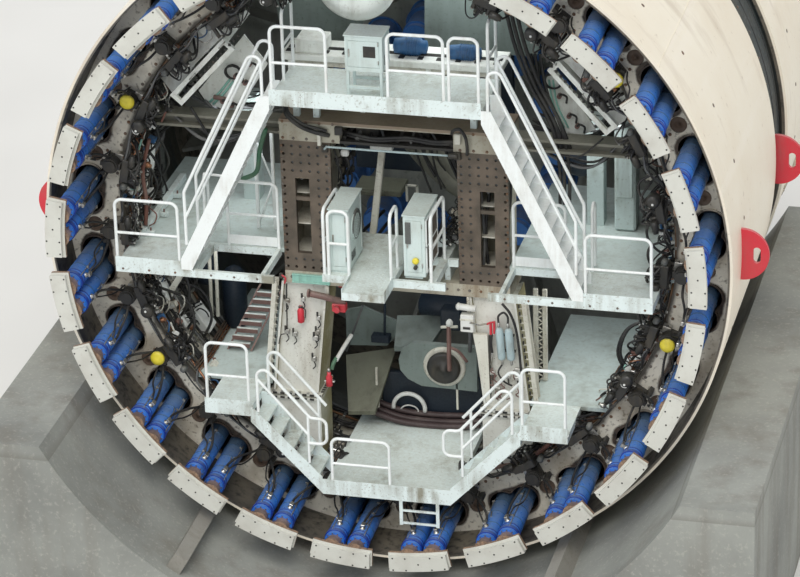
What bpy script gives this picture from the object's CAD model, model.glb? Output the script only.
# Looks of the shield in its launch cradle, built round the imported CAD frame. Metres, +Y is the drive direction.
import random
from math import cos, pi, radians, sin

import bpy
from mathutils import Matrix, Vector


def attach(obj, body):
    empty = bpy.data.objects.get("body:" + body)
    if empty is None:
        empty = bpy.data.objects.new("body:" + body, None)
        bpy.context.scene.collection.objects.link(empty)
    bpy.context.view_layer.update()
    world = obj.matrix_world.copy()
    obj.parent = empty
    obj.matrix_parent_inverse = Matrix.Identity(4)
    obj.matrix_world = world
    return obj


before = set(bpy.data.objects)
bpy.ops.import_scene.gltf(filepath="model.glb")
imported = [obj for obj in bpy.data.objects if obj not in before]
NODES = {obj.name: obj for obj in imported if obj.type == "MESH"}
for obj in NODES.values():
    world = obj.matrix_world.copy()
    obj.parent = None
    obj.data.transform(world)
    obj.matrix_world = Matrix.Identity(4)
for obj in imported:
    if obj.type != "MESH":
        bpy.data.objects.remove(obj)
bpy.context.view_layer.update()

# Measures of the CAD: heights and radii are from the shield axis
AXIS_Z = 5.95
PAIRS = 25
PITCH = 360 / PAIRS
BARREL_X, BARREL_R, SHELL_R = 0.176, 4.692, 4.178
PORTAL_FACE, COLUMN_FACE = 1.5598, 1.59
TOP_DECK, CENTRE_DECK, MIDDLE_DECKS, LANDINGS, BOTTOM_DECK = 2.38, -0.4, -0.45, -2.67, -3.87
FLAT = Matrix.Identity(4)

# Camera of the photograph, fitted to the ring of shoes
CAMERA_AT = (12.683, -47.526, 29.15)
CAMERA_AZIMUTH, CAMERA_ELEVATION, CAMERA_ROLL = radians(-14.44), radians(25.49), radians(-1.7)
CAMERA_LENS = 170.96

# Lights: name, strength, angle, colour, direction of the suns; x, y, z from the axis, width, length, power of the lamps
SUNS = (("key_light", 1.78, 35, (1.0, 0.97, 0.92), (-0.12, 0.75, -1.0)),
        ("fill_light", 0.5, 60, (0.9, 0.95, 1.0), (0.5, 0.9, -0.45)))
WORK_LIGHTS = ((0.0, 3.1, 3.7, 3.4, 1.2, 80), (0.0, 2.4, -1.2, 1.5, 1.4, 7), (-2.9, 2.6, -0.85, 1.3, 1.6, 17),
               (2.9, 2.6, -0.85, 1.3, 1.6, 26), (-2.6, 2.7, 1.25, 1.3, 1.4, 24), (2.4, 2.9, 1.25, 1.4, 1.4, 26))
SKY, SKY_STRENGTH = (0.93, 0.96, 1.0, 1), 0.62
BACKDROP = (0.86, 0.87, 0.87, 1)
WORK_LIGHT = (0.94, 0.98, 1.0)


def put(name, data):
    """A new object in the scene."""
    made = bpy.data.objects.new(name, data)
    bpy.context.scene.collection.objects.link(made)
    return made


def add_camera():
    az, el = CAMERA_AZIMUTH, CAMERA_ELEVATION
    forward = Vector((sin(az) * cos(el), cos(az) * cos(el), -sin(el)))
    right = forward.cross(Vector((0, 0, 1))).normalized()
    up = right.cross(forward)
    c, s = cos(CAMERA_ROLL), sin(CAMERA_ROLL)
    right, up = c * right + s * up, c * up - s * right
    data = bpy.data.cameras.new("camera")
    data.lens = CAMERA_LENS
    data.sensor_width = 36
    data.clip_end = 500
    camera = put("camera", data)
    turn = Matrix((right, up, -forward)).transposed().to_4x4()
    camera.matrix_world = Matrix.Translation(CAMERA_AT) @ turn
    bpy.context.scene.camera = camera


def add_lights():
    world = bpy.data.worlds.new("studio")
    world.use_nodes = True
    nodes, links = world.node_tree.nodes, world.node_tree.links
    nodes.clear()
    kinds = ("OutputWorld", "MixShader", "Background", "Background", "LightPath", "Math")
    out, mix, light, back, path, top = (nodes.new("ShaderNode" + kind) for kind in kinds)
    top.operation = "MAXIMUM"
    light.inputs["Color"].default_value = SKY
    light.inputs["Strength"].default_value = SKY_STRENGTH
    back.inputs["Color"].default_value = BACKDROP
    back.inputs["Strength"].default_value = 1.0
    links.new(path.outputs["Is Camera Ray"], top.inputs[0])
    links.new(path.outputs["Is Glossy Ray"], top.inputs[1])
    links.new(top.outputs[0], mix.inputs[0])
    links.new(light.outputs[0], mix.inputs[1])
    links.new(back.outputs[0], mix.inputs[2])
    links.new(mix.outputs[0], out.inputs["Surface"])
    bpy.context.scene.world = world
    for name, strength, angle, colour, toward in SUNS:
        data = bpy.data.lights.new(name, "SUN")
        data.energy = strength
        data.angle = radians(angle)
        data.color = colour
        put(name, data).rotation_euler = Vector(toward).to_track_quat("-Z", "Y").to_euler()
    # work lights inside the shield
    for number, (x, y, z, wide, long, power) in enumerate(WORK_LIGHTS):
        data = bpy.data.lights.new("work_light_%d" % number, "AREA")
        data.shape = "RECTANGLE"
        data.size, data.size_y = wide, long
        data.energy = power
        data.color = WORK_LIGHT
        lamp = put(data.name, data)
        lamp.location = (x, y, AXIS_Z + z)
        lamp.visible_camera = lamp.visible_glossy = False


class Paint:
    """Builds one procedural material, node by node."""

    def __init__(self, name):
        self.material = bpy.data.materials.new(name)
        self.material.use_nodes = True
        self.tree = self.material.node_tree
        self.shader = self.tree.nodes["Principled BSDF"]
        self.coords = self.node("ShaderNodeTexCoord").outputs["Object"]

    def node(self, kind, **settings):
        made = self.tree.nodes.new(kind)
        for key, value in settings.items():
            setattr(made, key, value)
        return made

    def link(self, a, b):
        self.tree.links.new(a, b)

    def place(self, name):
        """Object coordinate along an axis, or the distance from the shield axis."""
        split = self.node("ShaderNodeSeparateXYZ")
        self.link(self.coords, split.inputs[0])
        if name != "radius":
            return split.outputs[name]
        across = self.math("POWER", split.outputs["X"], 2.0)
        height = self.math("POWER", self.math("SUBTRACT", split.outputs["Z"], AXIS_Z), 2.0)
        return self.math("SQRT", self.math("ADD", across, height), 0.0)

    def wave(self, per_metre, axis):
        """Runs from 0 to 1 again and again along an axis."""
        return self.math("FRACT", self.math("MULTIPLY", self.place(axis), per_metre), 0.0)

    def noise(self, scale, detail=4.0, stretch=(1, 1, 1), rough=0.55):
        place = self.node("ShaderNodeMapping")
        place.inputs["Scale"].default_value = stretch
        self.link(self.coords, place.inputs["Vector"])
        noise = self.node("ShaderNodeTexNoise")
        noise.inputs["Scale"].default_value = scale
        noise.inputs["Detail"].default_value = detail
        noise.inputs["Roughness"].default_value = rough
        self.link(place.outputs[0], noise.inputs["Vector"])
        return noise.outputs["Fac"]

    def cells(self, scale):
        cell = self.node("ShaderNodeTexVoronoi")
        cell.inputs["Scale"].default_value = scale
        self.link(self.coords, cell.inputs["Vector"])
        return cell.outputs["Distance"]

    def ramp(self, value, low, high, out_low=0.0, out_high=1.0):
        step = self.node("ShaderNodeMapRange")
        for key, number in (("From Min", low), ("From Max", high), ("To Min", out_low), ("To Max", out_high)):
            step.inputs[key].default_value = number
        self.link(value, step.inputs["Value"])
        return step.outputs["Result"]

    def math(self, operation, a, b):
        step = self.node("ShaderNodeMath", operation=operation)
        for k, value in enumerate((a, b)):
            if isinstance(value, (int, float)):
                step.inputs[k].default_value = value
            else:
                self.link(value, step.inputs[k])
        return step.outputs[0]

    def mix(self, factor, a, b):
        step = self.node("ShaderNodeMix", data_type="RGBA")
        sockets = [s for s in step.inputs if s.type == "RGBA"]
        if isinstance(factor, (int, float)):
            step.inputs["Factor"].default_value = factor
        else:
            self.link(factor, step.inputs["Factor"])
        for socket, value in zip(sockets, (a, b)):
            if isinstance(value, tuple):
                socket.default_value = value + (1,)
            else:
                self.link(value, socket)
        return [s for s in step.outputs if s.type == "RGBA"][0]

    def normal(self, axis):
        split = self.node("ShaderNodeSeparateXYZ")
        self.link(self.node("ShaderNodeNewGeometry").outputs["Normal"], split.inputs[0])
        return split.outputs[axis]

    def inside(self, low, high):
        """1 inside a box of object coordinates, 0 outside it."""
        mask = 1.0
        for k, axis in enumerate("XYZ"):
            mask = self.math("MULTIPLY", mask, self.math("GREATER_THAN", self.place(axis), low[k]))
            mask = self.math("MULTIPLY", mask, self.math("LESS_THAN", self.place(axis), high[k]))
        return mask

    def bump(self, height, strength, distance):
        bump = self.node("ShaderNodeBump")
        bump.inputs["Strength"].default_value = strength
        bump.inputs["Distance"].default_value = distance
        self.link(height, bump.inputs["Height"])
        self.link(bump.outputs[0], self.shader.inputs["Normal"])

    def finish(self, colour, rough, metallic=0.0):
        self.link(colour, self.shader.inputs["Base Color"])
        if isinstance(rough, (int, float)):
            self.shader.inputs["Roughness"].default_value = rough
        else:
            self.link(rough, self.shader.inputs["Roughness"])
        if metallic is not None:
            self.shader.inputs["Metallic"].default_value = metallic
        return self.material


def painted(name, colour, dirt, dust=(0.42, 0.38, 0.32), wear=0.35, dust_amount=0.5, scale=1.0, rough=0.5,
            chips=None, bump=0.15, zones=(), boxes=(), flank=None):
    """Site-worn paint: broad stains, fine specks, dust on what faces up, and chips down to another colour.
    zones: (place, low, high, colour) tints what lies past a distance, place being an axis or "radius"."""
    p = Paint(name)
    broad = p.noise(0.9 * scale, 5)
    fine = p.noise(14 * scale, 6)
    streak = p.noise(5 * scale, 4, (1.0, 1.0, 0.12))
    for place, low, high, other in zones:
        colour = p.mix(p.ramp(p.place(place), low, high), colour, other)
    stain = p.math("MULTIPLY", p.ramp(broad, 0.42, 0.72), p.ramp(streak, 0.35, 0.7))
    tone = p.mix(p.math("MULTIPLY", stain, wear * 2), colour, dirt)
    tone = p.mix(p.ramp(fine, 0.58, 0.75, 0, wear), tone, dirt)
    up = p.ramp(p.normal("Z"), 0.45, 1.0)
    tone = p.mix(p.math("MULTIPLY", p.math("MULTIPLY", up, p.ramp(fine, 0.3, 0.6, 0.35, 1.0)), dust_amount), tone, dust)
    if chips:
        spots = p.math("MULTIPLY", p.ramp(p.noise(26 * scale, 3), 0.64, 0.68), p.ramp(broad, 0.45, 0.6))
        tone = p.mix(spots, tone, chips)
    if flank:
        side = p.ramp(p.math("ABSOLUTE", p.normal("X"), 0.0), 0.85, 0.95)
        tone = p.mix(p.math("MULTIPLY", side, p.ramp(broad, 0.3, 0.5, 0.6, 1.0)), tone, flank)
    for low, high, other in boxes:
        tone = p.mix(p.inside(low, high), tone, other)
    p.bump(p.math("ADD", fine, broad), bump, 0.01)
    return p.finish(tone, p.ramp(fine, 0.3, 0.7, rough - 0.1, rough + 0.2))


def skin_material():
    """Cream outside with long scratches along the drive, dark and oily inside and on the bare edge."""
    p = Paint("cream_skin")
    broad = p.noise(0.5, 5)
    fine = p.noise(9, 6)
    drag = p.noise(3.0, 5, (1.0, 0.05, 1.0))
    run = p.noise(2.0, 6, (0.25, 1.0, 0.25))
    tone = p.mix(p.ramp(broad, 0.35, 0.7), (0.92, 0.85, 0.71), (0.85, 0.76, 0.61))
    tone = p.mix(p.ramp(drag, 0.56, 0.66, 0, 0.4), tone, (0.94, 0.87, 0.75))
    tone = p.mix(p.ramp(run, 0.6, 0.74, 0, 0.4), tone, (0.5, 0.4, 0.29))
    tone = p.mix(p.ramp(fine, 0.66, 0.74, 0, 0.45), tone, (0.4, 0.31, 0.23))
    inside = p.mix(p.ramp(broad, 0.4, 0.6), (0.075, 0.068, 0.058), (0.19, 0.165, 0.125))
    inside = p.mix(p.ramp(fine, 0.5, 0.7), inside, (0.03, 0.03, 0.028))
    tone = p.mix(p.ramp(p.place("radius"), 5.075, 5.085), inside, tone)
    p.bump(fine, 0.12, 0.01)
    return p.finish(tone, p.ramp(fine, 0.3, 0.7, 0.42, 0.66))


def concrete_material():
    p = Paint("cast_concrete")
    broad = p.noise(0.45, 6)
    fine = p.noise(18, 8)
    run = p.noise(1.6, 5, (1.0, 1.0, 0.15))
    lift = p.ramp(p.wave(0.32, "Z"), 0.0, 0.035, 1.0, 0.0)
    tone = p.mix(p.ramp(broad, 0.35, 0.65), (0.33, 0.34, 0.31), (0.2, 0.205, 0.19))
    tone = p.mix(p.ramp(run, 0.5, 0.7, 0, 0.6), tone, (0.18, 0.165, 0.14))
    tone = p.mix(p.ramp(fine, 0.55, 0.7, 0, 0.4), tone, (0.44, 0.43, 0.38))
    tone = p.mix(p.math("MULTIPLY", lift, 0.5), tone, (0.15, 0.14, 0.12))
    p.bump(p.math("ADD", fine, p.ramp(p.cells(30), 0, 0.3)), 0.35, 0.01)
    return p.finish(tone, 0.88)


def steel_material(name, colour, spot, rough=0.5, metallic=0.6, scale=1.0):
    p = Paint(name)
    broad = p.noise(2.2 * scale, 5)
    fine = p.noise(30 * scale, 6)
    tone = p.mix(p.ramp(broad, 0.4, 0.68), colour, spot)
    tone = p.mix(p.ramp(fine, 0.55, 0.75, 0, 0.5), tone, spot)
    p.bump(fine, 0.2, 0.006)
    return p.finish(tone, p.ramp(broad, 0.3, 0.7, rough - 0.12, rough + 0.18), metallic)


def shoe_material():
    """Cream pad, brown plate behind it, and bare rods behind the plate."""
    p = Paint("shoe_pad")
    pad_back, plate_back = 0.07, (0.1252, 0.1256)
    broad, fine = p.noise(1.6, 5), p.noise(24, 6)
    pad = p.mix(p.ramp(broad, 0.46, 0.72, 0, 0.5), (0.62, 0.62, 0.565), (0.4, 0.37, 0.32))
    pad = p.mix(p.ramp(fine, 0.62, 0.74, 0, 0.45), pad, (0.36, 0.3, 0.23))
    plate = p.mix(p.ramp(fine, 0.4, 0.65), (0.33, 0.22, 0.15), (0.16, 0.11, 0.08))
    rods = p.mix(p.ramp(broad, 0.4, 0.6), (0.46, 0.33, 0.3), (0.27, 0.2, 0.17))
    depth = p.place("Y")
    rods = p.mix(p.ramp(p.math("ADD", depth, p.ramp(broad, 0.3, 0.7, -0.03, 0.03)), 0.34, 0.46),
                 rods, (0.56, 0.55, 0.53))
    tone = p.mix(p.ramp(depth, pad_back, pad_back + 0.0005), pad, plate)
    tone = p.mix(p.ramp(depth, *plate_back), tone, rods)
    p.bump(fine, 0.15, 0.008)
    p.link(p.ramp(depth, *plate_back, 0.0, 0.7), p.shader.inputs["Metallic"])
    return p.finish(tone, p.ramp(fine, 0.3, 0.7, 0.38, 0.62), None)


def wall_material():
    """Ring wall: pale webs, dark and oily round each double opening, dark inside the shell."""
    p = Paint("ring_wall")
    shell_inside, opening_edge, wall_front = (4.2, 4.26), (0.235, 0.265), (1.612, 1.63)
    broad, fine = p.noise(1.4, 5), p.noise(16, 6)
    split = p.node("ShaderNodeSeparateXYZ")
    p.link(p.coords, split.inputs[0])
    turn = p.math("ARCTAN2", split.outputs["X"], p.math("SUBTRACT", split.outputs["Z"], AXIS_Z))
    step = radians(PITCH)
    beside = p.math("ABSOLUTE",
                    p.math("SUBTRACT", p.math("FRACT", p.math("ADD", p.math("DIVIDE", turn, step), 20.5), 0.0), 0.5),
                    0.0)
    radius = p.place("radius")
    along = p.math("SUBTRACT", p.math("MULTIPLY", p.math("MULTIPLY", beside, step), radius), BARREL_X)
    reach = p.math("SUBTRACT", radius, BARREL_R)
    along = p.math("MAXIMUM", along, 0.0)
    away = p.math("SQRT",
                  p.math("ADD", p.math("POWER", along, 2.0), p.math("POWER", p.math("ABSOLUTE", reach, 0.0), 2.0)), 0.0)
    away = p.math("ADD", away, p.ramp(broad, 0.3, 0.7, -0.05, 0.05))
    pale = p.mix(p.ramp(broad, 0.48, 0.66), (0.74, 0.7, 0.6), (0.42, 0.37, 0.29))
    pale = p.mix(p.ramp(fine, 0.56, 0.7, 0, 0.8), pale, (0.13, 0.105, 0.075))
    oily = p.mix(p.ramp(fine, 0.4, 0.65), (0.075, 0.052, 0.038), (0.022, 0.018, 0.015))
    tone = p.mix(p.ramp(away, *opening_edge), oily, pale)
    tone = p.mix(p.ramp(p.math("ADD", radius, p.ramp(broad, 0.3, 0.7, -0.06, 0.06)), *shell_inside), (0.1, 0.09, 0.075),
                 tone)
    inner = p.mix(p.ramp(broad, 0.45, 0.62), (0.5, 0.47, 0.39), (0.22, 0.19, 0.145))
    inner = p.mix(p.ramp(fine, 0.55, 0.7, 0, 0.7), inner, (0.09, 0.075, 0.055))
    inner = p.mix(p.ramp(p.place("Y"), 2.5, 3.3), inner, (0.07, 0.072, 0.066))
    tone = p.mix(p.ramp(p.place("Y"), *wall_front), tone, inner)
    p.bump(fine, 0.2, 0.01)
    return p.finish(tone, p.ramp(fine, 0.3, 0.7, 0.4, 0.7))


def rubber_material(name, colour, dust):
    p = Paint(name)
    broad, fine = p.noise(3.0, 4), p.noise(60, 5)
    tone = p.mix(p.ramp(broad, 0.45, 0.7, 0, 0.6), colour, dust)
    tone = p.mix(p.ramp(fine, 0.55, 0.75, 0, 0.35), tone, dust)
    p.bump(fine, 0.12, 0.003)
    return p.finish(tone, p.ramp(fine, 0.3, 0.7, 0.42, 0.7))


DUST = (0.46, 0.42, 0.34)
CHIPS = (0.16, 0.1, 0.06)
RUST = (0.24, 0.13, 0.07)

MATERIALS = {
    "cream_skin": skin_material(),
    "ring_wall": wall_material(),
    "brown": painted("cover_brown", (0.115, 0.075, 0.052), (0.04, 0.03, 0.022), (0.17, 0.13, 0.1), 0.6, 0.3, 2.0, 0.55),
    "wall_white": painted("wall_white", (0.36, 0.37, 0.34), (0.12, 0.12, 0.1), wear=0.5, dust_amount=0.3),
    "drive": painted("drive_paint", (0.045, 0.16, 0.45), (0.05, 0.06, 0.07), wear=0.5, dust_amount=0.35,
                     zones=[("Y", 5.59, 5.6, (0.3, 0.31, 0.27))]),
    "roof": painted("roof_white", (0.84, 0.87, 0.82), (0.3, 0.27, 0.2), (0.66, 0.66, 0.6), 0.4, 0.35, 1.6),
    "blue": painted("cylinder_blue", (0.035, 0.19, 0.7), (0.03, 0.06, 0.15), (0.22, 0.3, 0.38), 0.36, 0.42, 1.5, 0.32,
                    zones=[("Y", 0.355, 0.36, (0.012, 0.045, 0.32)), ("Y", 0.428, 0.432, (0.05, 0.22, 0.72)),
                           ("Y", 0.486, 0.49, (0.012, 0.045, 0.32)), ("Y", 0.512, 0.516, (0.035, 0.19, 0.66)),
                           ("Y", 0.75, 1.45, (0.05, 0.105, 0.2))]),
    "band": painted("band_dark", (0.03, 0.04, 0.042), (0.1, 0.08, 0.05), (0.16, 0.15, 0.12), 0.6, 0.4, 1.0, 0.6),
    "cream_frame": painted("frame_cream", (0.66, 0.65, 0.57), (0.24, 0.19, 0.12), DUST, 0.5, 0.4, 1.4,
                           chips=CHIPS),
    "backwall": painted("back_green", (0.2, 0.245, 0.225), (0.09, 0.1, 0.09), (0.3, 0.31, 0.28), 0.5, 0.4, 1.5, 0.55),
    "portal": painted("portal_cream", (0.44, 0.42, 0.34), (0.22, 0.16, 0.1), DUST, 0.6, 0.4, 1.4, chips=CHIPS,
                      boxes=[((-0.8, 1.0, AXIS_Z + 1.2), (0.9, 3.0, AXIS_Z + 1.362), (0.035, 0.033, 0.03)),
                             ((-1.72, 1.5, AXIS_Z + 1.585), (1.72, 3.0, AXIS_Z + 1.7), (0.26, 0.2, 0.145)),
                             ((-4.5, 1.5, AXIS_Z + 1.0), (-1.78, 3.0, AXIS_Z + 1.8), (0.19, 0.185, 0.15)),
                             ((1.78, 1.5, AXIS_Z + 1.0), (4.5, 3.0, AXIS_Z + 1.8), (0.19, 0.185, 0.15))]),
    "column": painted("column_cream", (0.72, 0.72, 0.66), (0.24, 0.19, 0.12), DUST, 0.42, 0.4, 1.4, chips=CHIPS,
                      flank=(0.27, 0.24, 0.13)),
    "fan": painted("fan_grey", (0.1, 0.105, 0.1), (0.05, 0.05, 0.045), DUST, 0.4, 0.2, 4.0, 0.5),
    "olive": painted("platform_olive", (0.14, 0.145, 0.105), (0.06, 0.055, 0.04), (0.22, 0.22, 0.17), 0.6, 0.5, 2.0),
    "deepblue": painted("deep_blue", (0.008, 0.016, 0.028), (0.02, 0.022, 0.025), (0.035, 0.04, 0.045),
                        0.4, 0.3, 2.0, 0.5),
    "duct": painted("duct_olive", (0.15, 0.15, 0.12), (0.08, 0.075, 0.055), (0.26, 0.25, 0.2), 0.4, 0.4, 3.0, 0.6),
    "plumhose": rubber_material("hose_plum", (0.055, 0.035, 0.035), (0.14, 0.11, 0.1)),
    "redhose": rubber_material("hose_red_brown", (0.17, 0.07, 0.05), (0.24, 0.17, 0.14)),
    "plug": painted("hole_plug", (0.085, 0.09, 0.09), (0.05, 0.045, 0.04), (0.12, 0.11, 0.1), 0.4, 0.2, 6.0, 0.6),
    "flange": steel_material("flange_brown", (0.105, 0.088, 0.07), (0.2, 0.16, 0.125), 0.55, 0.45, 1.4),
    "deck": painted("deck_white", (0.72, 0.81, 0.8), (0.27, 0.265, 0.21), (0.6, 0.64, 0.58), 0.75, 0.65, 1.7,
                    chips=(0.2, 0.15, 0.11)),
    "rail": painted("rail_white", (0.84, 0.88, 0.87), (0.42, 0.38, 0.31), (0.7, 0.71, 0.66), 0.25, 0.2, 3.0, 0.36),
    "cabinet": painted("cabinet_white", (0.6, 0.7, 0.68), (0.34, 0.36, 0.31), DUST, 0.3, 0.3, 2.0, 0.4),
    "green": painted("deck_green", (0.52, 0.61, 0.59), (0.2, 0.2, 0.16), (0.46, 0.5, 0.46), 0.6, 0.5, 1.4),
    "oily": painted("unit_dark", (0.022, 0.022, 0.021), (0.06, 0.05, 0.035), (0.1, 0.095, 0.08), 0.7, 0.35, 3.0, 0.38),
    "red": painted("lug_red", (0.6, 0.03, 0.05), (0.4, 0.12, 0.11), (0.58, 0.3, 0.29), 0.45, 0.5, 2.0, 0.45),
    "sill": painted("guide_dusty", (0.26, 0.25, 0.22), (0.15, 0.13, 0.1), (0.34, 0.33, 0.3), 0.5, 0.6, 2.0, 0.6),
    "head": painted("head_cream", (0.84, 0.76, 0.61), (0.36, 0.27, 0.18), DUST, 0.4, 0.35, 1.2, 0.5,
                    chips=(0.2, 0.13, 0.08)),
    "concrete": concrete_material(),
    "steel": steel_material("guide_steel", (0.17, 0.155, 0.14), RUST, 0.45, 0.7),
    "cutter": steel_material("cutter_steel", (0.16, 0.155, 0.15), RUST, 0.42, 0.8, 2.0),
    "pad": shoe_material(),
    "rubber": rubber_material("hose_rubber", (0.014, 0.014, 0.015), (0.085, 0.08, 0.07)),
    "greyhose": rubber_material("hose_grey", (0.1, 0.105, 0.11), (0.2, 0.19, 0.165)),
    "brownpipe": painted("pipe_brown", (0.2, 0.115, 0.1), (0.1, 0.06, 0.05), DUST, 0.4, 0.3, 4.0, 0.42),
    "copper": steel_material("pipe_copper", (0.46, 0.22, 0.12), (0.2, 0.11, 0.07), 0.38, 0.85, 4.0),
    "silver": steel_material("fitting_silver", (0.55, 0.55, 0.53), (0.27, 0.25, 0.21), 0.33, 0.85, 4.0),
    "yellow": painted("cap_yellow", (0.74, 0.62, 0.045), (0.34, 0.27, 0.06), DUST, 0.3, 0.2, 5.0, 0.38),
    "turquoise": painted("channel_turquoise", (0.28, 0.55, 0.47), (0.16, 0.28, 0.23), DUST, 0.4, 0.3, 4.0, 0.45),
    "plastic": painted("plastic_white", (0.72, 0.73, 0.7), (0.4, 0.38, 0.33), DUST, 0.3, 0.3, 5.0, 0.45),
    "paleblue": painted("vessel_pale_blue", (0.42, 0.53, 0.55), (0.2, 0.22, 0.2), DUST, 0.4, 0.3, 4.0, 0.4),
    "motor": painted("motor_blue", (0.035, 0.13, 0.3), (0.03, 0.05, 0.08), (0.2, 0.23, 0.24), 0.45, 0.35, 4.0, 0.4),
    "greenhose": rubber_material("hose_green", (0.05, 0.16, 0.09), (0.15, 0.17, 0.12)),
}

NODE_MATERIALS = {node: material for material, nodes in (
    ("cream_skin", "rear_skin front_skin"), ("ring_wall", "thrust_ring"), ("blue", "cylinder_barrels"),
    ("band", "joint_band"), ("wall_white", "bulkhead man_lock"), ("drive", "main_drive"), ("portal", "portal_frame"),
    ("flange", "flange_plates"), ("column", "lower_columns"), ("roof", "roof_panels"),
    ("deck", "top_platform mid_platforms centre_platform lower_landings lower_stairs bottom_platform"),
    ("rail", "top_rails mid_rails upper_stairs upper_stair_rails centre_rails lower_rails bottom_rails"),
    ("cabinet", "top_cabinet centre_cabinets"), ("green", "side_decks"), ("oily", "ring_units"),
    ("red", "lifting_lugs"), ("concrete", "launch_cradle"), ("sill", "cradle_rails"), ("head", "cutterhead_frame"),
    ("cutter", "cutterhead_cutters")) for node in nodes.split()}


def at(x, y, z):
    """A point whose height is given from the shield axis."""
    return Vector((x, y, AXIS_Z + z))


def placed(point):
    """A plain (x, y, z) has its height from the shield axis, a Vector stays as it is."""
    return point if isinstance(point, Vector) else at(*point)


def clock(degrees):
    """Turns what stands at the crown to the left by an angle, about the shield axis."""
    centre = Matrix.Translation((0, 0, AXIS_Z))
    return centre @ Matrix.Rotation(-radians(degrees), 4, "Y") @ centre.inverted()


def smooth_path(points, per_span=8):
    """Catmull-Rom curve through the points."""
    pts = [placed(p) for p in points]
    ends = [2 * pts[0] - pts[1]] + pts + [2 * pts[-1] - pts[-2]]
    out = []
    for i in range(1, len(ends) - 2):
        a, b, c, d = ends[i - 1:i + 3]
        for k in range(per_span):
            t = k / per_span
            out.append(0.5 * (2 * b + (c - a) * t + (2 * a - 5 * b + 4 * c - d) * t * t
                              + (3 * b - a - 3 * c + d) * t ** 3))
    return out + [pts[-1]]


# The record's slot for each material of the trim
SLOTS = {material: slot for slot, materials in (
    ("cabinet_white", "plastic paleblue"), ("cream_steel", "cream_skin"), ("cutter_steel", "cutter"),
    ("cylinder_blue", "motor"), ("deck_green", "turquoise backwall olive green"), ("deck_white", "deck"),
    ("flange_brown", "brown plug brownpipe flange redhose"), ("frame_cream", "cream_frame"),
    ("guide_steel", "steel silver copper"), ("lug_red", "yellow red"), ("rail_white", "rail"), ("wall_white", "roof"),
    ("unit_dark", "rubber oily greyhose fan greenhose deepblue plumhose duct")) for material in materials.split()}


def circle(centre, u, v, radius, sides):
    turns = [2 * pi * k / sides for k in range(sides)]
    return [centre + (u * cos(t) + v * sin(t)) * radius for t in turns]


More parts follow.
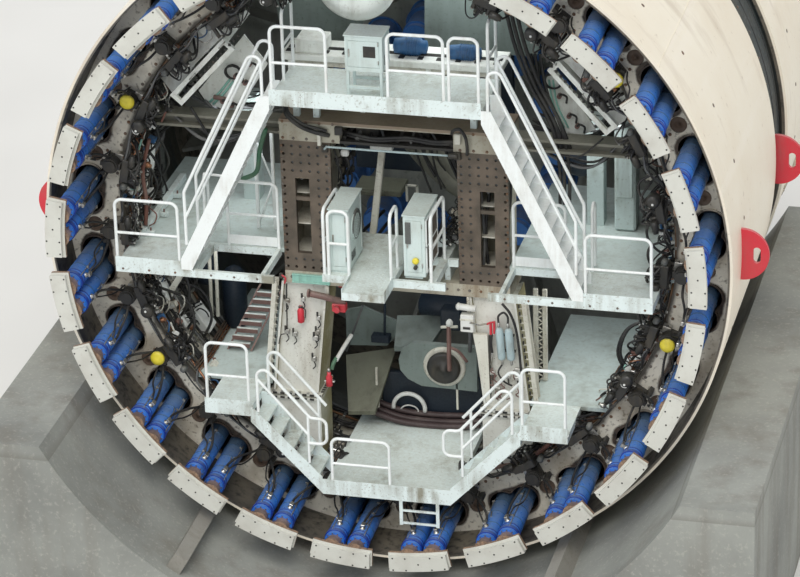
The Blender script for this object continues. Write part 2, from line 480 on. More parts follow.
class Piece:
    """Gathers shaped parts into one mesh that rides on a body. The step loop finishes every piece made."""

    made = []

    def __init__(self, name, material, body="root", slot=None):
        self.name, self.material, self.slot_name, self.body = name, material, slot or SLOTS[material], body
        self.made.append(self)
        self.points, self.faces, self.smooth = [], [], []
        self.turn = FLAT

    def add(self, points, faces, smooth=False):
        start = len(self.points)
        self.points += [self.turn @ placed(p) for p in points]
        self.faces += [tuple(start + i for i in f) for f in faces]
        self.smooth += [smooth] * len(faces)

    def box(self, low, high, chamfer=0.006, turn=None):
        """Box between two corners with chamfered edges."""
        lo, hi = placed(low), placed(high)
        c = min(chamfer, *[(hi[i] - lo[i]) * 0.3 for i in range(3)])
        points, index = [], {}
        for key in range(8):
            side = [(key >> a) & 1 for a in range(3)]
            for flush in range(3):
                p = [hi[a] if side[a] else lo[a] for a in range(3)]
                for a in range(3):
                    if a != flush:
                        p[a] += -c if side[a] else c
                index[key, flush] = len(points)
                points.append(Vector(p))
        faces = []
        for a in range(3):
            b, d = (a + 1) % 3, (a + 2) % 3
            for s in (0, 1):
                ring = [(s << a) | (i << b) | (j << d) for i, j in ((0, 0), (1, 0), (1, 1), (0, 1))]
                faces.append([index[k, a] for k in ring])
            for i in (0, 1):
                for j in (0, 1):
                    one, two = (i << b) | (j << d), (1 << a) | (i << b) | (j << d)
                    faces.append([index[one, b], index[two, b], index[two, d], index[one, d]])
        for key in range(8):
            faces.append([index[key, a] for a in range(3)])
        middle = (lo + hi) / 2
        for n, f in enumerate(faces):
            u, v, w = (points[f[i]] for i in (0, 1, 2))
            if (v - u).cross(w - u).dot((u + v + w) / 3 - middle) < 0:
                faces[n] = f[::-1]
        if turn is not None:
            points = [turn @ p for p in points]
        self.add(points, faces)

    def skin(self, points, sides, smooth):
        """Wall over rings of points, with a flat cap at either end."""
        start, last = len(self.points), len(points) - sides
        pairs = [(k, (k + 1) % sides) for k in range(sides)]
        walls = [(i + k, i + m, i + sides + m, i + sides + k) for i in range(0, last, sides) for k, m in pairs]
        self.add(points, walls, smooth)
        self.faces += [tuple(range(start, start + sides))[::-1], tuple(range(start + last, start + last + sides))]
        self.smooth += [False, False]

    def lathe(self, a, b, profile, sides=20, smooth=True):
        """Turned part from a towards b: profile is a list of (distance along in metres, radius)."""
        a, b = placed(a), placed(b)
        way = (b - a).normalized()
        u = way.orthogonal().normalized()
        v = way.cross(u)
        self.skin([p for along, radius in profile for p in circle(a + way * along, u, v, radius, sides)], sides, smooth)

    def rod(self, a, b, radius, sides=16, chamfer=0.004):
        length = (placed(b) - placed(a)).length
        c = min(chamfer, radius * 0.3, length * 0.3)
        self.lathe(a, b, [(0, radius - c), (c, radius), (length - c, radius), (length, radius - c)], sides)

    def bolt(self, a, way, radius=0.018, height=0.014):
        """Hexagon head on a washer."""
        a, way = placed(a), Vector(way).normalized()
        self.lathe(a, a + way, [(0, radius * 1.5), (height * 0.25, radius * 1.5)], 12, False)
        self.lathe(a + way * height * 0.25, a + way,
                   [(0, radius), (height * 0.6, radius), (height * 0.75, radius * 0.8)], 6, False)

    def tube(self, points, radius, sides=8, per_span=8, smooth_it=True):
        """Round tube along a path, its frame carried along without twisting."""
        path = smooth_path(points, per_span) if smooth_it else [placed(p) for p in points]
        ways = [(path[min(i + 1, len(path) - 1)] - path[max(i - 1, 0)]).normalized() for i in range(len(path))]
        u = ways[0].orthogonal().normalized()
        rings = []
        for p, way in zip(path, ways):
            u = (u - way * u.dot(way)).normalized()
            rings += circle(p, u, way.cross(u), radius, sides)
        self.skin(rings, sides, True)

    def plate(self, outline, thick, origin, u=(1, 0, 0), v=(0, 0, 1)):
        """Flat plate: a closed outline in the u, v plane, extruded by thick along u x v."""
        u, v, origin = Vector(u), Vector(v), placed(origin)
        w = u.cross(v).normalized() * thick
        n = len(outline)
        base = [origin + u * a + v * b for a, b in outline]
        area = sum(outline[i][0] * outline[(i + 1) % n][1] - outline[(i + 1) % n][0] * outline[i][1] for i in range(n))
        if area < 0:
            base = base[::-1]
        points = base + [p + w for p in base]
        faces = [tuple(range(n))[::-1], tuple(range(n, 2 * n))]
        faces += [(i, (i + 1) % n, n + (i + 1) % n, n + i) for i in range(n)]
        self.add(points, faces)

    def done(self):
        mesh = bpy.data.meshes.new(self.name)
        mesh.from_pydata([tuple(p) for p in self.points], [], self.faces)
        mesh.polygons.foreach_set("use_smooth", self.smooth)
        mesh.materials.append(MATERIALS[self.material])
        mesh.update()
        piece = put(self.name, mesh)
        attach(piece, self.body)


def pieces(*rows):
    """Pieces on the root body, each from "name material"."""
    return [Piece(*row.split()) for row in rows]


Y = Vector((0, 1, 0))
SLAB_FACES = [(0, 3, 2, 1), (4, 5, 6, 7), (3, 7, 6, 2), (0, 4, 7, 3), (1, 2, 6, 5), (0, 1, 5, 4)]
R = random.Random(11)
uniform, choice = R.uniform, R.choice


def around(radius, degrees, y):
    """Point at a radius from the shield axis, at an angle from the crown towards the left."""
    a = radians(degrees)
    return at(-radius * sin(a), y, radius * cos(a))


def dress_shoes():
    """Bolt heads in the pads' faces, two rows of five and one in the middle."""
    for k in range(PAIRS):
        bolts = Piece("shoe_bolts_%02d" % (k + 1), "oily", "thrust_shoe_%02d" % (k + 1))
        bolts.turn = clock(k * PITCH)
        spots = [(radius, j * 2.35) for radius in (4.662, 4.858) for j in (-2, -1, 1, 2)] + [(4.76, 0.0)]
        for radius, j in spots:
            a = radians(j)
            spot = at(radius * sin(a), 0.002, radius * cos(a))
            bolts.lathe(spot, spot - Y, [(0, 0.014), (0.003, 0.014), (0.003, 0.009), (0.008, 0.009), (0.009, 0.006)],
                        10, False)


def dress_barrels():
    """Gland bolts, ports with fittings, sensor pipes and the hoses over to the units."""
    bolts, fittings, hoses, straps = pieces(
        "gland_bolts steel", "barrel_fittings silver", "barrel_hoses rubber", "barrel_straps motor")
    for k in range(PAIRS):
        for piece in (bolts, fittings, hoses, straps):
            piece.turn = clock(k * PITCH)
        for s in (-1, 1):
            x, r = BARREL_X * s, BARREL_R
            for j in range(10):
                a = radians(36 * j)
                spot = at(x + 0.133 * cos(a), 0.3, r + 0.133 * sin(a))
                bolts.lathe(spot, spot - Y, [(0, 0.0115), (0.009, 0.0115), (0.011, 0.009)], 6, False)
            port = at(x, 0.58, r - 0.148)
            inward = at(x, 0.58, r - 1) - port
            fittings.lathe(port, port + inward, [(-0.01, 0.042), (0.014, 0.042), (0.016, 0.028), (0.045, 0.028),
                                                 (0.047, 0.02), (0.06, 0.02)], 12)
            fittings.box((x - 0.03, 0.545, r - 0.225), (x + 0.03, 0.65, r - 0.19), 0.005)
            fittings.rod((x + 0.07 * s, 0.4, r - 0.143), (x + 0.07 * s, 1.5, r - 0.143), 0.008, 8)
            for y in (0.7, 1.05, 1.38):
                spot = at(x, y, r)
                straps.lathe(spot, spot + Y, [(0, 0.1505), (0.001, 0.1545), (0.024, 0.1545), (0.025, 0.1505)], 28)
                fittings.box((x + 0.055 * s - 0.012, y, r - 0.168), (x + 0.055 * s + 0.035, y + 0.025, r - 0.14), 0.003)
            wander = uniform(-0.03, 0.03)
            hoses.tube([(x, 0.65, r - 0.207), (x, 0.74, r - 0.215), (x + 0.05 * s, 0.9, r - 0.27 + wander),
                        (x + 0.15 * s, 1.1, r - 0.33), (x + 0.24 * s, 1.27, r - 0.36), (x + 0.27 * s, 1.4, r - 0.37)],
                       0.019, 8, 4)
            hoses.tube([(x + 0.04 * s, 0.64, r - 0.2), (x + 0.1 * s, 0.78, r - 0.24 + wander),
                        (x + 0.18 * s, 0.98, r - 0.2), (x + 0.25 * s, 1.2, r - 0.25), (x + 0.28 * s, 1.54, r - 0.3)],
                       0.013, 6, 4)


def dress_units():
    """Cooling ribs, valve blocks and fittings on the units, with their hoses into the ring."""
    ribs, blocks, coils, caps, hoses, grey, copper = pieces(
        "unit_ribs oily", "unit_valve_blocks silver", "unit_coils oily", "unit_caps yellow", "unit_hoses rubber",
        "unit_pipes greyhose", "unit_copper_pipes copper")
    for k in range(PAIRS):
        for piece in (ribs, blocks, coils, caps, hoses, grey, copper):
            piece.turn = clock((k + 0.5) * PITCH)
        profile = [(0, 0.1152)]
        for j in range(6):
            y = 0.015 + j * 0.024
            profile += [(y, 0.1152), (y, 0.127), (y + 0.008, 0.127), (y + 0.008, 0.1152)]
        ribs.lathe((0, 1.25, 4.32), (0, 2, 4.32), profile + [(0.16, 0.1152)], 20, False)
        ribs.box((-0.045, 1.27, 4.165), (0.045, 1.37, 4.21), 0.008)
        side = choice((-1, 1))
        blocks.box((0.1 * side - 0.05, 1.4, 4.17), (0.1 * side + 0.05, 1.53, 4.3), 0.008)
        blocks.box((-0.07, 1.45, 4.13), (0.05, 1.54, 4.225), 0.008)
        for j in range(3):
            x = -0.05 + j * 0.04
            blocks.lathe((x, 1.475, 4.13), (x, 1.475, 3), [(0, 0.016), (0.02, 0.016), (0.022, 0.011), (0.035, 0.011)],
                         8)
        coils.rod((0.1 * side - 0.055, 1.435, 4.25), (0.1 * side - 0.055 - 0.1 * side, 1.435, 4.1), 0.022, 10)
        coils.rod((0.1 * side, 1.44, 4.17), (0.1 * side, 1.44, 4.08), 0.024, 10)
        coils.box((-0.2, 1.3, 4.4), (-0.13, 1.5, 4.47), 0.008)
        if k in (4, 8, 17, 21):
            spot = at(0.03, 1.235, 4.33)
            caps.lathe(spot, spot - Y, [(0, 0.112), (0.03, 0.112), (0.05, 0.095), (0.062, 0.06), (0.066, 0.0)], 24)
        for j in range(5):
            x = -0.06 + j * 0.035
            drift = uniform(-0.28, 0.28)
            depth = uniform(1.75, 2.6)
            rise = uniform(0.02, 0.14)
            hoses.tube([(x, 1.475, 4.11), (x + drift * 0.1, 1.46, 4.06 - rise * 0.5),
                        (x + drift * 0.4, 1.6, 4.03 - rise), (x + drift * 0.8, 1.8, 4.09 - rise * 0.4),
                        (x + drift, depth, 4.12)], choice((0.012, 0.016, 0.02)), 6, 4)
        for j in range(3):
            x, up = uniform(-0.1, 0.1), uniform(0.03, 0.12)
            reach = uniform(0.5, 0.95)
            target = hoses if j < 2 else grey
            target.tube([(x, 1.43, 4.15), (x + 0.1, 1.3 - up * 0.5, 4.12),
                         (x + reach * 0.45, 1.22 - up * 0.6, 4.14 - up), (x + reach * 0.8, 1.34, 4.09),
                         (x + reach, 1.52, 4.03)], choice((0.012, 0.016)), 6, 4)
        for j in range(2):
            x = 0.085 + 0.03 * j
            copper.tube([(x, 1.41, 4.2), (x + 0.02, 1.4, 4.11), (x + 0.05, 1.52, 4.06), (x + 0.06, 1.7, 4.1),
                         (x + 0.06, 1.85, 4.165)], 0.007, 6, 4)


def dress_ring():
    """Lines, hose bundles, clamps and boxes on the inside of the ring's shell, and bolts on its rear wall."""
    steel, hoses, grey, copper, clamps, boxes, dark, bolts, covers, handles = pieces(
        "ring_pipes steel", "ring_hoses rubber", "ring_cables greyhose", "ring_copper_pipes copper",
        "ring_clamps silver", "ring_boxes plastic", "ring_blocks oily", "wall_bolts steel", "wall_covers brown",
        "barrel_handles silver")
    for y, radius, piece in ((1.66, 0.02, steel), (1.72, 0.02, steel), (1.79, 0.016, copper), (1.9, 0.024, hoses),
                             (1.96, 0.024, hoses), (2.03, 0.028, hoses), (2.3, 0.018, grey), (2.35, 0.02, hoses),
                             (2.42, 0.022, hoses), (2.72, 0.03, hoses), (2.8, 0.024, hoses), (3.02, 0.02, steel),
                             (3.1, 0.026, hoses), (3.2, 0.022, grey)):
        wander = 0.0 if piece in (steel, copper) else 0.035
        for start in range(-172, 172, 43):
            points = [around(SHELL_R - radius - uniform(0, wander), start + j * 5.5, y + uniform(-wander, wander) * 0.8)
                      for j in range(9)]
            piece.tube(points, radius, 6, 3)
    for k in range(2 * PAIRS):
        clamps.turn = clock((k + 0.5) * PITCH / 2)
        for y in (1.62, 1.86, 2.25, 2.68, 2.98):
            clamps.box((-0.02, y, 4.135), (0.02, y + 0.2, SHELL_R), 0.004)
    clamps.turn = FLAT
    for _ in range(90):
        angle, y = uniform(-165, 165), uniform(1.7, 3.1)
        piece = choice((dark, dark, dark, clamps, boxes))
        piece.turn = clock(angle)
        w, l, h = uniform(0.06, 0.16), uniform(0.08, 0.22), uniform(0.06, 0.15)
        piece.box((-w, y, SHELL_R - h), (w, y + l, SHELL_R), 0.01)
        clamps.turn = piece.turn
        for j in range(3):
            x = -w * 0.6 + j * w * 0.6
            clamps.lathe((x, y + l * 0.5, SHELL_R - h), (x, y + l * 0.5, 3),
                         [(0, 0.014), (0.022, 0.014), (0.024, 0.009), (0.035, 0.009)], 8)
            hoses.turn = piece.turn
            out, reach = uniform(0.04, 0.12), uniform(-0.5, 0.5)
            hoses.tube([(x, y + l * 0.5, 4.15 - h), (x, y + l * 0.55, 4.12 - h - out * 0.5),
                        (x + reach * 0.3, y + l, 4.1 - h - out * 0.3), (x + reach * 0.8, y + l + 0.25, 4.1),
                        (x + reach, y + l + 0.45, 4.15)], 0.012, 6, 3)
    hoses.turn = clamps.turn = FLAT
    for group in range(14):
        base = -160 + group * 24 + uniform(-5, 5)
        for j in range(R.randint(3, 5)):
            piece = (steel, copper, hoses, grey)[(group + j // 2) % 4]
            piece.turn = clock(base + j * 0.55)
            piece.tube([(0, 1.615, 4.15), (0, 2.1, 4.06), (0.01, 2.8, 4.06), (0, 3.3, 4.1), (0, 3.48, 4.12)],
                       0.014, 6, 4)
    for k in range(PAIRS):
        covers.turn = clock((k + 0.5) * PITCH)
        covers.lathe((0, 1.575, 4.64), (0, 0, 4.64),
                     [(0, 0.122), (0.012, 0.122), (0.016, 0.112), (0.01, 0.104), (0.01, 0.03), (0.022, 0.03),
                      (0.024, 0.0)], 28)
        handles.turn = clock(k * PITCH)
        for s in (-1, 1):
            handles.tube([(BARREL_X * s - 0.01, 0.86, 4.548), (BARREL_X * s - 0.01, 0.9, 4.528),
                          (BARREL_X * s + 0.005, 1.0, 4.526), (BARREL_X * s + 0.01, 1.04, 4.546)], 0.009, 8, 5)
        bolts.turn = clock(k * PITCH)
        for x, r in ((-0.47, 4.44), (0.47, 4.44), (-0.3, 4.26), (0.3, 4.26), (-0.1, 4.25), (0.1, 4.25)):
            bolts.bolt((x, 1.5498, r), -Y, 0.017, 0.016)


def dress_clusters():
    """Black valve clusters on the ring's inner edge between the cylinder pairs, and the clutter round them."""
    black, shiny, hoses, rings, blue = pieces(
        "cluster_blocks oily", "cluster_fittings silver", "cluster_hoses rubber", "cluster_rings plastic",
        "cluster_motors fan")
    for k in range(PAIRS):
        for piece in (black, shiny, hoses, rings, blue):
            piece.turn = clock((k + 0.5) * PITCH + uniform(-0.6, 0.6))
        if k in (11, 12, 13):
            continue
        black.box((-0.19, 1.16, 4.0), (0.17, 1.4, 4.13), 0.012)
        black.box((-0.12, 1.22, 3.94), (0.06, 1.46, 4.01), 0.01)
        for j in range(5):
            x = -0.16 + j * 0.075 + uniform(-0.01, 0.01)
            deep = uniform(3.84, 3.93)
            y = 1.2 + 0.05 * (j % 3)
            black.rod((x, y, 4.02), (x, y - 0.02, deep), uniform(0.024, 0.034), 12)
            shiny.lathe((x, y - 0.02, deep + 0.012), (x, y - 0.022, deep - 1),
                        [(0, 0.026), (0.014, 0.026), (0.018, 0.016), (0.03, 0.016)], 10)
        black.lathe((0.1, 1.13, 3.97), (0.3, 1.13, 3.97),
                    [(0, 0.04), (0.01, 0.055), (0.15, 0.055), (0.16, 0.04), (0.19, 0.04)], 16)
        if k % 3 == 1:
            black.lathe((-0.22, 1.22, 4.02), (-0.22, 0, 4.02), [(0, 0.1), (0.14, 0.1), (0.17, 0.085), (0.18, 0.04)], 24)
            rings.lathe((-0.22, 1.055, 4.02), (-0.22, 0, 4.02),
                        [(0, 0.055), (0.006, 0.055), (0.006, 0.048), (0, 0.048)], 24)
            rings.lathe((-0.22, 1.045, 4.02), (-0.22, 0, 4.02), [(0, 0.018), (0.012, 0.018), (0.014, 0.012)], 14)
        else:
            blue.lathe((-0.26, 1.26, 4.06), (-0.26, 0, 4.06), [(0, 0.05), (0.09, 0.05), (0.1, 0.035), (0.12, 0.02)], 16)
        for j in range(9):
            x0, x1 = uniform(-0.2, 0.2), uniform(-0.42, 0.42)
            dip = uniform(3.8, 3.95)
            y0 = uniform(1.1, 1.3)
            hoses.tube([(x0, y0 + 0.06, 4.02), (x0 * 0.6 + x1 * 0.2, y0 - 0.04, dip + 0.03),
                        (x0 * 0.3 + x1 * 0.6, y0 + 0.04, dip), (x1, y0 + 0.28, 4.02), (x1 * 1.05, y0 + 0.42, 4.12)],
                       choice((0.01, 0.013, 0.017)), 6, 4)
    often = {"silver": 9, "plastic": 6, "redhose": 6, "oily": 14, "cream_frame": 7, "motor": 3, "copper": 4,
             "turquoise": 1}
    loose = [Piece("clutter_" + name, name) for name in often]
    for n in range(430):
        piece = R.choices(loose, often.values())[0]
        side = 1 if n % 5 < 3 else -1
        angle = R.triangular(36, 158, 85)
        piece.turn = clock(side * angle)
        y, r = uniform(1.42, 2.15), 4.17 - abs(R.gauss(0, 0.11))
        a, b, c = uniform(0.015, 0.055), uniform(0.02, 0.07), uniform(0.02, 0.06)
        if y < 1.56:
            r = max(r, 4.0)
        kind = n % 4
        if kind == 0:
            piece.box((-a, y, r - 2 * c), (a, y + 2 * b, r), 0.005)
        elif kind == 1:
            piece.rod((-2 * a, y, r - c), (2 * a, y + b, r - c), a * 0.4, 10)
        elif kind == 2:
            piece.lathe((0, y, r), (0, y - 0.2, r - 0.4), [(0, a), (c, a), (c + 0.006, a * 0.6), (c + 0.05, a * 0.6)],
                        10)
        else:
            piece.tube([(-0.12, y, r), (-0.05, y - 0.03, r - 0.06 - c), (0.05, y + 0.04, r - 0.08 - c),
                        (0.13, y + 0.1, r)], 0.011, 6, 5)


def dress_frame():
    """Bolts, stiffeners, hoses and ducts on the portal frame, its recess and the flange plates."""
    bolts, plates, hoses, grey, pipe, dark, turquoise = pieces(
        "frame_bolts steel", "frame_stiffeners cream_frame", "recess_hoses rubber", "recess_ducts greyhose",
        "recess_pipe paleblue", "recess_blocks oily", "cable_channel turquoise")
    for x in (-1.66, -1.5, -1.3, -1.1, -0.9, 1.0, 1.2, 1.4, 1.6):
        for z in (1.335, 1.595):
            bolts.bolt((x, PORTAL_FACE, z), -Y, 0.016, 0.014)
    plugs = Piece("flange_plugs", "plug")
    for s in (-1, 1):
        for i in range(5):
            for j in range(15):
                x, z = 1.01 + 0.13 * i, 1.21 - 0.13 * j
                if abs(x - 1.391) >= 0.16 or not -0.6 < z < 0.68:
                    plugs.lathe((s * x, 1.6, z), (s * x, 0, z),
                                [(0, 0.0215), (0.022, 0.0215), (0.025, 0.017), (0.025, 0.009), (0.018, 0.007)],
                                12, False)
        for z in [-0.74 + 0.1025 * j for j in range(20)]:
            for x in (0.972, 1.688):
                bolts.bolt((s * x, PORTAL_FACE, z), -Y, 0.013, 0.012)
        for j in range(9):
            bolts.bolt((s * (0.25 + j * 0.17), PORTAL_FACE, -0.91), -Y, 0.015, 0.014)
        for z in (-0.6, -0.1, 0.4, 0.9):
            plates.box((s * 1.33 - 0.31, 1.7, z), (s * 1.33 + 0.27, 2.28, z + 0.02), 0.003)
        for x in (1.075, 1.255, 1.575):
            grey.tube([(s * x, 1.75, -0.78), (s * (x + 0.03), 1.8, -0.2), (s * x, 1.78, 0.5),
                       (s * (x - 0.02), 1.82, 1.25)], 0.022, 8, 6)
            hoses.tube([(s * (x + 0.08), 1.85, -0.78), (s * (x + 0.05), 1.8, 0.0), (s * (x + 0.1), 1.86, 0.6),
                        (s * (x + 0.06), 1.8, 1.25)], 0.026, 8, 6)
    for j in range(9):
        x = -0.75 + j * 0.2
        lean = uniform(-0.25, 0.25)
        (hoses, grey)[j % 2].tube([(x, 1.63, 1.36), (x + lean * 0.3, 1.74, 1.4), (x + lean, 1.86, 1.5),
                                   (x + lean * 1.3, 1.9, 1.56)], choice((0.02, 0.028, 0.035)), 8, 5)
    for z, radius in ((1.375, 0.022), (1.42, 0.028), (1.385, 0.018)):
        hoses.tube([(-0.79, 1.66 + radius * 3, z), (-0.3, 1.6, z - 0.01), (0.2, 1.66, z + 0.01), (0.6, 1.61, z),
                    (0.89, 1.66, z)], radius, 8, 8)
    dark.box((-0.6, 1.75, 1.345), (-0.25, 2.0, 1.5), 0.012)
    dark.box((0.3, 1.8, 1.345), (0.5, 2.02, 1.46), 0.012)
    pipe.tube([(-1.02, 1.5, 1.22), (-0.98, 1.5, 1.26), (-0.9, 1.5, 1.262), (0.0, 1.5, 1.258), (0.84, 1.5, 1.262)],
              0.017, 10, 6)
    dark.box((-1.06, 1.49, 1.17), (-0.97, 1.56, 1.27), 0.008)
    dark.rod((0.84, 1.5, 1.262), (0.98, 1.5, 1.262), 0.045, 14)
    dark.box((0.93, 1.49, 1.2), (1.02, 1.56, 1.31), 0.008)
    for path, radius in (([(-1.62, 1.62, 1.8), (-1.56, 1.5, 1.72), (-1.38, 1.48, 1.58), (-1.2, 1.49, 1.5),
                           (-1.03, 1.5, 1.46), (-0.96, 1.56, 1.42)], 0.034),
                         ([(-1.6, 1.62, 1.8), (-1.52, 1.5, 1.74), (-1.32, 1.46, 1.62), (-1.12, 1.49, 1.55),
                           (-0.98, 1.53, 1.5)], 0.022),
                         ([(0.88, 1.57, 1.58), (0.92, 1.5, 1.66), (1.02, 1.47, 1.7), (1.1, 1.48, 1.58),
                           (1.12, 1.5, 1.42), (1.11, 1.54, 1.28)], 0.024)):
        hoses.tube(path, radius, 10, 8)
    dark.box((-0.86, 1.5, 1.45), (-0.74, 1.56, 1.58), 0.01)
    plates.box((-1.12, 1.49, 1.27), (-1.07, 1.55, 1.5))
    plates.box((0.93, 1.5, 1.44), (1.02, 1.56, 1.6), 0.008)
    turquoise.box((-1.6, 1.53, -0.99), (-1.02, PORTAL_FACE, -0.845), 0.004)
    for z in (-0.865, -0.99):
        turquoise.box((-1.6, 1.515, z), (-1.02, 1.535, z + 0.02), 0.003)


def column_x(z):
    """Shift of the leaning lower columns at a height."""
    return 0.2 * (-1.01 - z) / 1.84


def dress_columns():
    """Fittings on the lower columns: what the photo shows on the left one and on the right one."""
    red, silver, dark, brown, pale, white, vessels, green, hoses = pieces(
        "column_red_parts red", "column_valves silver", "column_dark_parts oily", "column_brown_pipe brownpipe",
        "column_pale_parts cream_frame", "column_boxes plastic", "column_vessels paleblue",
        "column_green_hose greenhose", "column_hoses rubber")
    red.lathe((-1.49, 1.535, -1.65), (-1.49, 1.535, 0),
              [(0, 0.03), (0.015, 0.052), (0.2, 0.052), (0.235, 0.03), (0.25, 0.018), (0.275, 0.018)], 20)
    dark.box((-1.52, 1.51, -1.4), (-1.46, 1.56, -1.375), 0.004)
    hoses.tube([(-1.46, 1.53, -1.39), (-1.41, 1.52, -1.44), (-1.42, 1.525, -1.56)], 0.008, 6, 6)
    silver.box((-1.545, 1.56, -1.62), (-1.435, 1.59, -1.58), 0.004)
    hoses.tube([(-1.7, 1.57, -1.04), (-1.71, 1.56, -1.3), (-1.715, 1.565, -1.55), (-1.72, 1.56, -1.8)], 0.012, 6, 6)
    for x, z in ((-1.71, -1.32), (-1.72, -1.83), (-1.6, -1.86), (-1.22, -1.56), (-1.25, -1.8), (-1.28, -1.9),
                 (-1.45, -1.27), (-1.32, -2.25)):
        w = uniform(0.03, 0.05)
        silver.box((x - w, 1.535, z - 0.04), (x + w, COLUMN_FACE, z + 0.04), 0.008)
        dark.rod((x - w * 0.5, 1.545, z + 0.03), (x - w * 0.5, 1.545, z + 0.1), 0.016, 10)
        silver.rod((x + w * 0.6, 1.535, z), (x + w * 0.6, 1.5, z), 0.012, 8)
        hoses.tube([(x, 1.54, z - 0.03), (x + 0.03, 1.53, z - 0.1), (x - 0.02, 1.55, z - 0.17)], 0.009, 6, 5)
    hoses.tube([(-1.76, 1.57, -1.88), (-1.82, 1.55, -1.9), (-1.86, 1.56, -2.05)], 0.009, 6, 5)
    brown.tube([(-1.32, 1.5, -1.14), (-1.12, 1.5, -1.17), (-0.95, 1.52, -1.22), (-0.8, 1.56, -1.27)], 0.052, 14, 6)
    brown.lathe((-1.36, 1.5, -1.135), (0, 1.5, -1.17), [(0, 0.066), (0.03, 0.066), (0.03, 0.05)], 18)
    dark.lathe((-1.362, 1.5, -1.135), (0, 1.5, -1.17), [(0, 0.044), (0.004, 0.044)], 18)
    red.box((-0.99, 1.47, -1.4), (-0.78, 1.6, -1.27), 0.012)
    red.rod((-0.9, 1.45, -1.335), (-0.9, 1.4, -1.335), 0.05, 12)
    pale.box((-1.09, 1.56, -1.2), (-1.05, 1.6, -1.02), 0.004)
    red.tube([(-1.76, 1.53, -0.88), (-1.7, 1.52, -0.93), (-1.72, 1.53, -1.02)], 0.014, 8, 5)
    dark.box((-1.8, 1.52, -0.94), (-1.74, 1.57, -0.86))
    green.tube([(-1.05, 1.56, -2.4), (-1.02, 1.56, -2.3), (-0.99, 1.62, -2.24)], 0.03, 10, 6)
    white.tube([(-0.99, 1.6, -2.27), (-0.93, 1.8, -2.16), (-0.86, 2.05, -2.05)], 0.032, 10, 6)
    red.lathe((-1.08, 1.5, -2.66), (-1.08, 1.5, 0),
              [(0, 0.028), (0.01, 0.05), (0.16, 0.05), (0.19, 0.03), (0.24, 0.03)], 18)
    silver.lathe((-1.08, 1.5, -2.42), (-1.08, 1.5, 0), [(0, 0.024), (0.05, 0.024), (0.06, 0.014)], 12)
    silver.box((-1.16, 1.5, -2.6), (-1.0, 1.56, -2.575), 0.004)

    for s in (-1, 1):
        # outer rib beside the column, a narrow slotted gap between them
        for y0, y1 in ((1.6, 1.618), (1.74, 1.758)):
            pale.plate([(1.86, -1.03), (1.93, -1.03), (2.115, -2.75), (2.045, -2.75)]
                       if s > 0 else [(-1.86, -1.03), (-2.045, -2.75), (-2.115, -2.75), (-1.93, -1.03)],
                       y1 - y0, (0, y1, 0))
        for j in range(14):
            z = -1.12 - j * 0.118
            x = s * (1.815 + column_x(z))
            dark.box((x - 0.014, 1.585, z - 0.03), (x + 0.014, 1.6, z + 0.03), 0.004)
            pale.box((min(x, s * (1.88 + column_x(z))), 1.61, z - 0.052),
                     (max(x, s * (1.88 + column_x(z))), 1.64, z - 0.04), 0.002)
        for z in (-2.872, -2.94):
            for j in range(7):
                x = s * (1.26 + j * 0.115)
                dark.box((x - 0.034, 1.538, z - 0.016), (x + 0.034, 1.553, z + 0.016), 0.004)
        for j in range(8):
            y = 1.62 + j * 0.075
            dark.box((s * 1.235 - 0.022, y, -2.8502), (s * 1.235 + 0.022, y + 0.048, -2.84), 0.003)
        for j in range(6):
            silver.bolt((s * (1.3 + j * 0.135), 1.565, -2.85), (0, 0, 1), 0.018, 0.018)

    # right column: tapered rib, boxes, red valve, two vessels with their hose arch
    pale.plate([(1.14, -1.6), (1.36, -1.6), (1.385, -2.68), (1.325, -2.72)], 0.05, (0, 1.585, 0))
    dark.box((1.375, 1.552, -2.7), (1.395, 1.588, -1.62), 0.003)
    white.rod((0.93, 1.5, -1.15), (1.2, 1.5, -1.17), 0.05, 16)
    white.lathe((0.9, 1.5, -1.148), (1.2, 1.5, -1.17), [(0, 0.02), (0.02, 0.05), (0.04, 0.06), (0.06, 0.05)], 16)
    white.box((0.97, 1.46, -1.55), (1.17, 1.59, -1.27), 0.012)
    pale.box((0.965, 1.453, -1.36), (1.175, 1.462, -1.33), 0.003)
    dark.box((1.01, 1.452, -1.5), (1.12, 1.461, -1.46), 0.003)
    pale.box((1.05, 1.56, -1.28), (1.09, 1.6, -1.02), 0.004)
    silver.tube([(1.1, 1.48, -1.4), (1.16, 1.45, -1.38), (1.24, 1.5, -1.43), (1.32, 1.52, -1.42), (1.4, 1.53, -1.4)],
                0.014, 8, 6)
    red.tube([(1.36, 1.53, -1.42), (1.41, 1.5, -1.38), (1.46, 1.49, -1.36)], 0.016, 8, 5)
    red.box((1.4, 1.5, -1.58), (1.435, 1.55, -1.38))
    red.box((1.455, 1.5, -1.56), (1.485, 1.55, -1.36))
    hoses.tube([(1.43, 1.52, -1.58), (1.42, 1.51, -1.72), (1.43, 1.53, -1.88)], 0.018, 8, 6)
    silver.tube([(1.43, 1.53, -1.88), (1.42, 1.54, -2.0), (1.4, 1.55, -2.1)], 0.013, 8, 5)
    for x in (1.56, 1.7):
        vessels.lathe((x + 0.02, 1.52, -1.98), (x - 0.02, 1.52, -1.44),
                      [(0, 0.03), (0.02, 0.055), (0.05, 0.06), (0.46, 0.06), (0.5, 0.05), (0.53, 0.025)], 20)
        silver.rod((x - 0.02, 1.52, -1.45), (x - 0.025, 1.52, -1.37), 0.022, 10)
        silver.rod((x + 0.02, 1.52, -1.98), (x + 0.025, 1.52, -2.06), 0.02, 10)
        dark.box((x - 0.068, 1.535, -1.6), (x + 0.062, 1.59, -1.57), 0.004)
        dark.box((x - 0.05, 1.535, -1.86), (x + 0.08, 1.59, -1.83), 0.004)
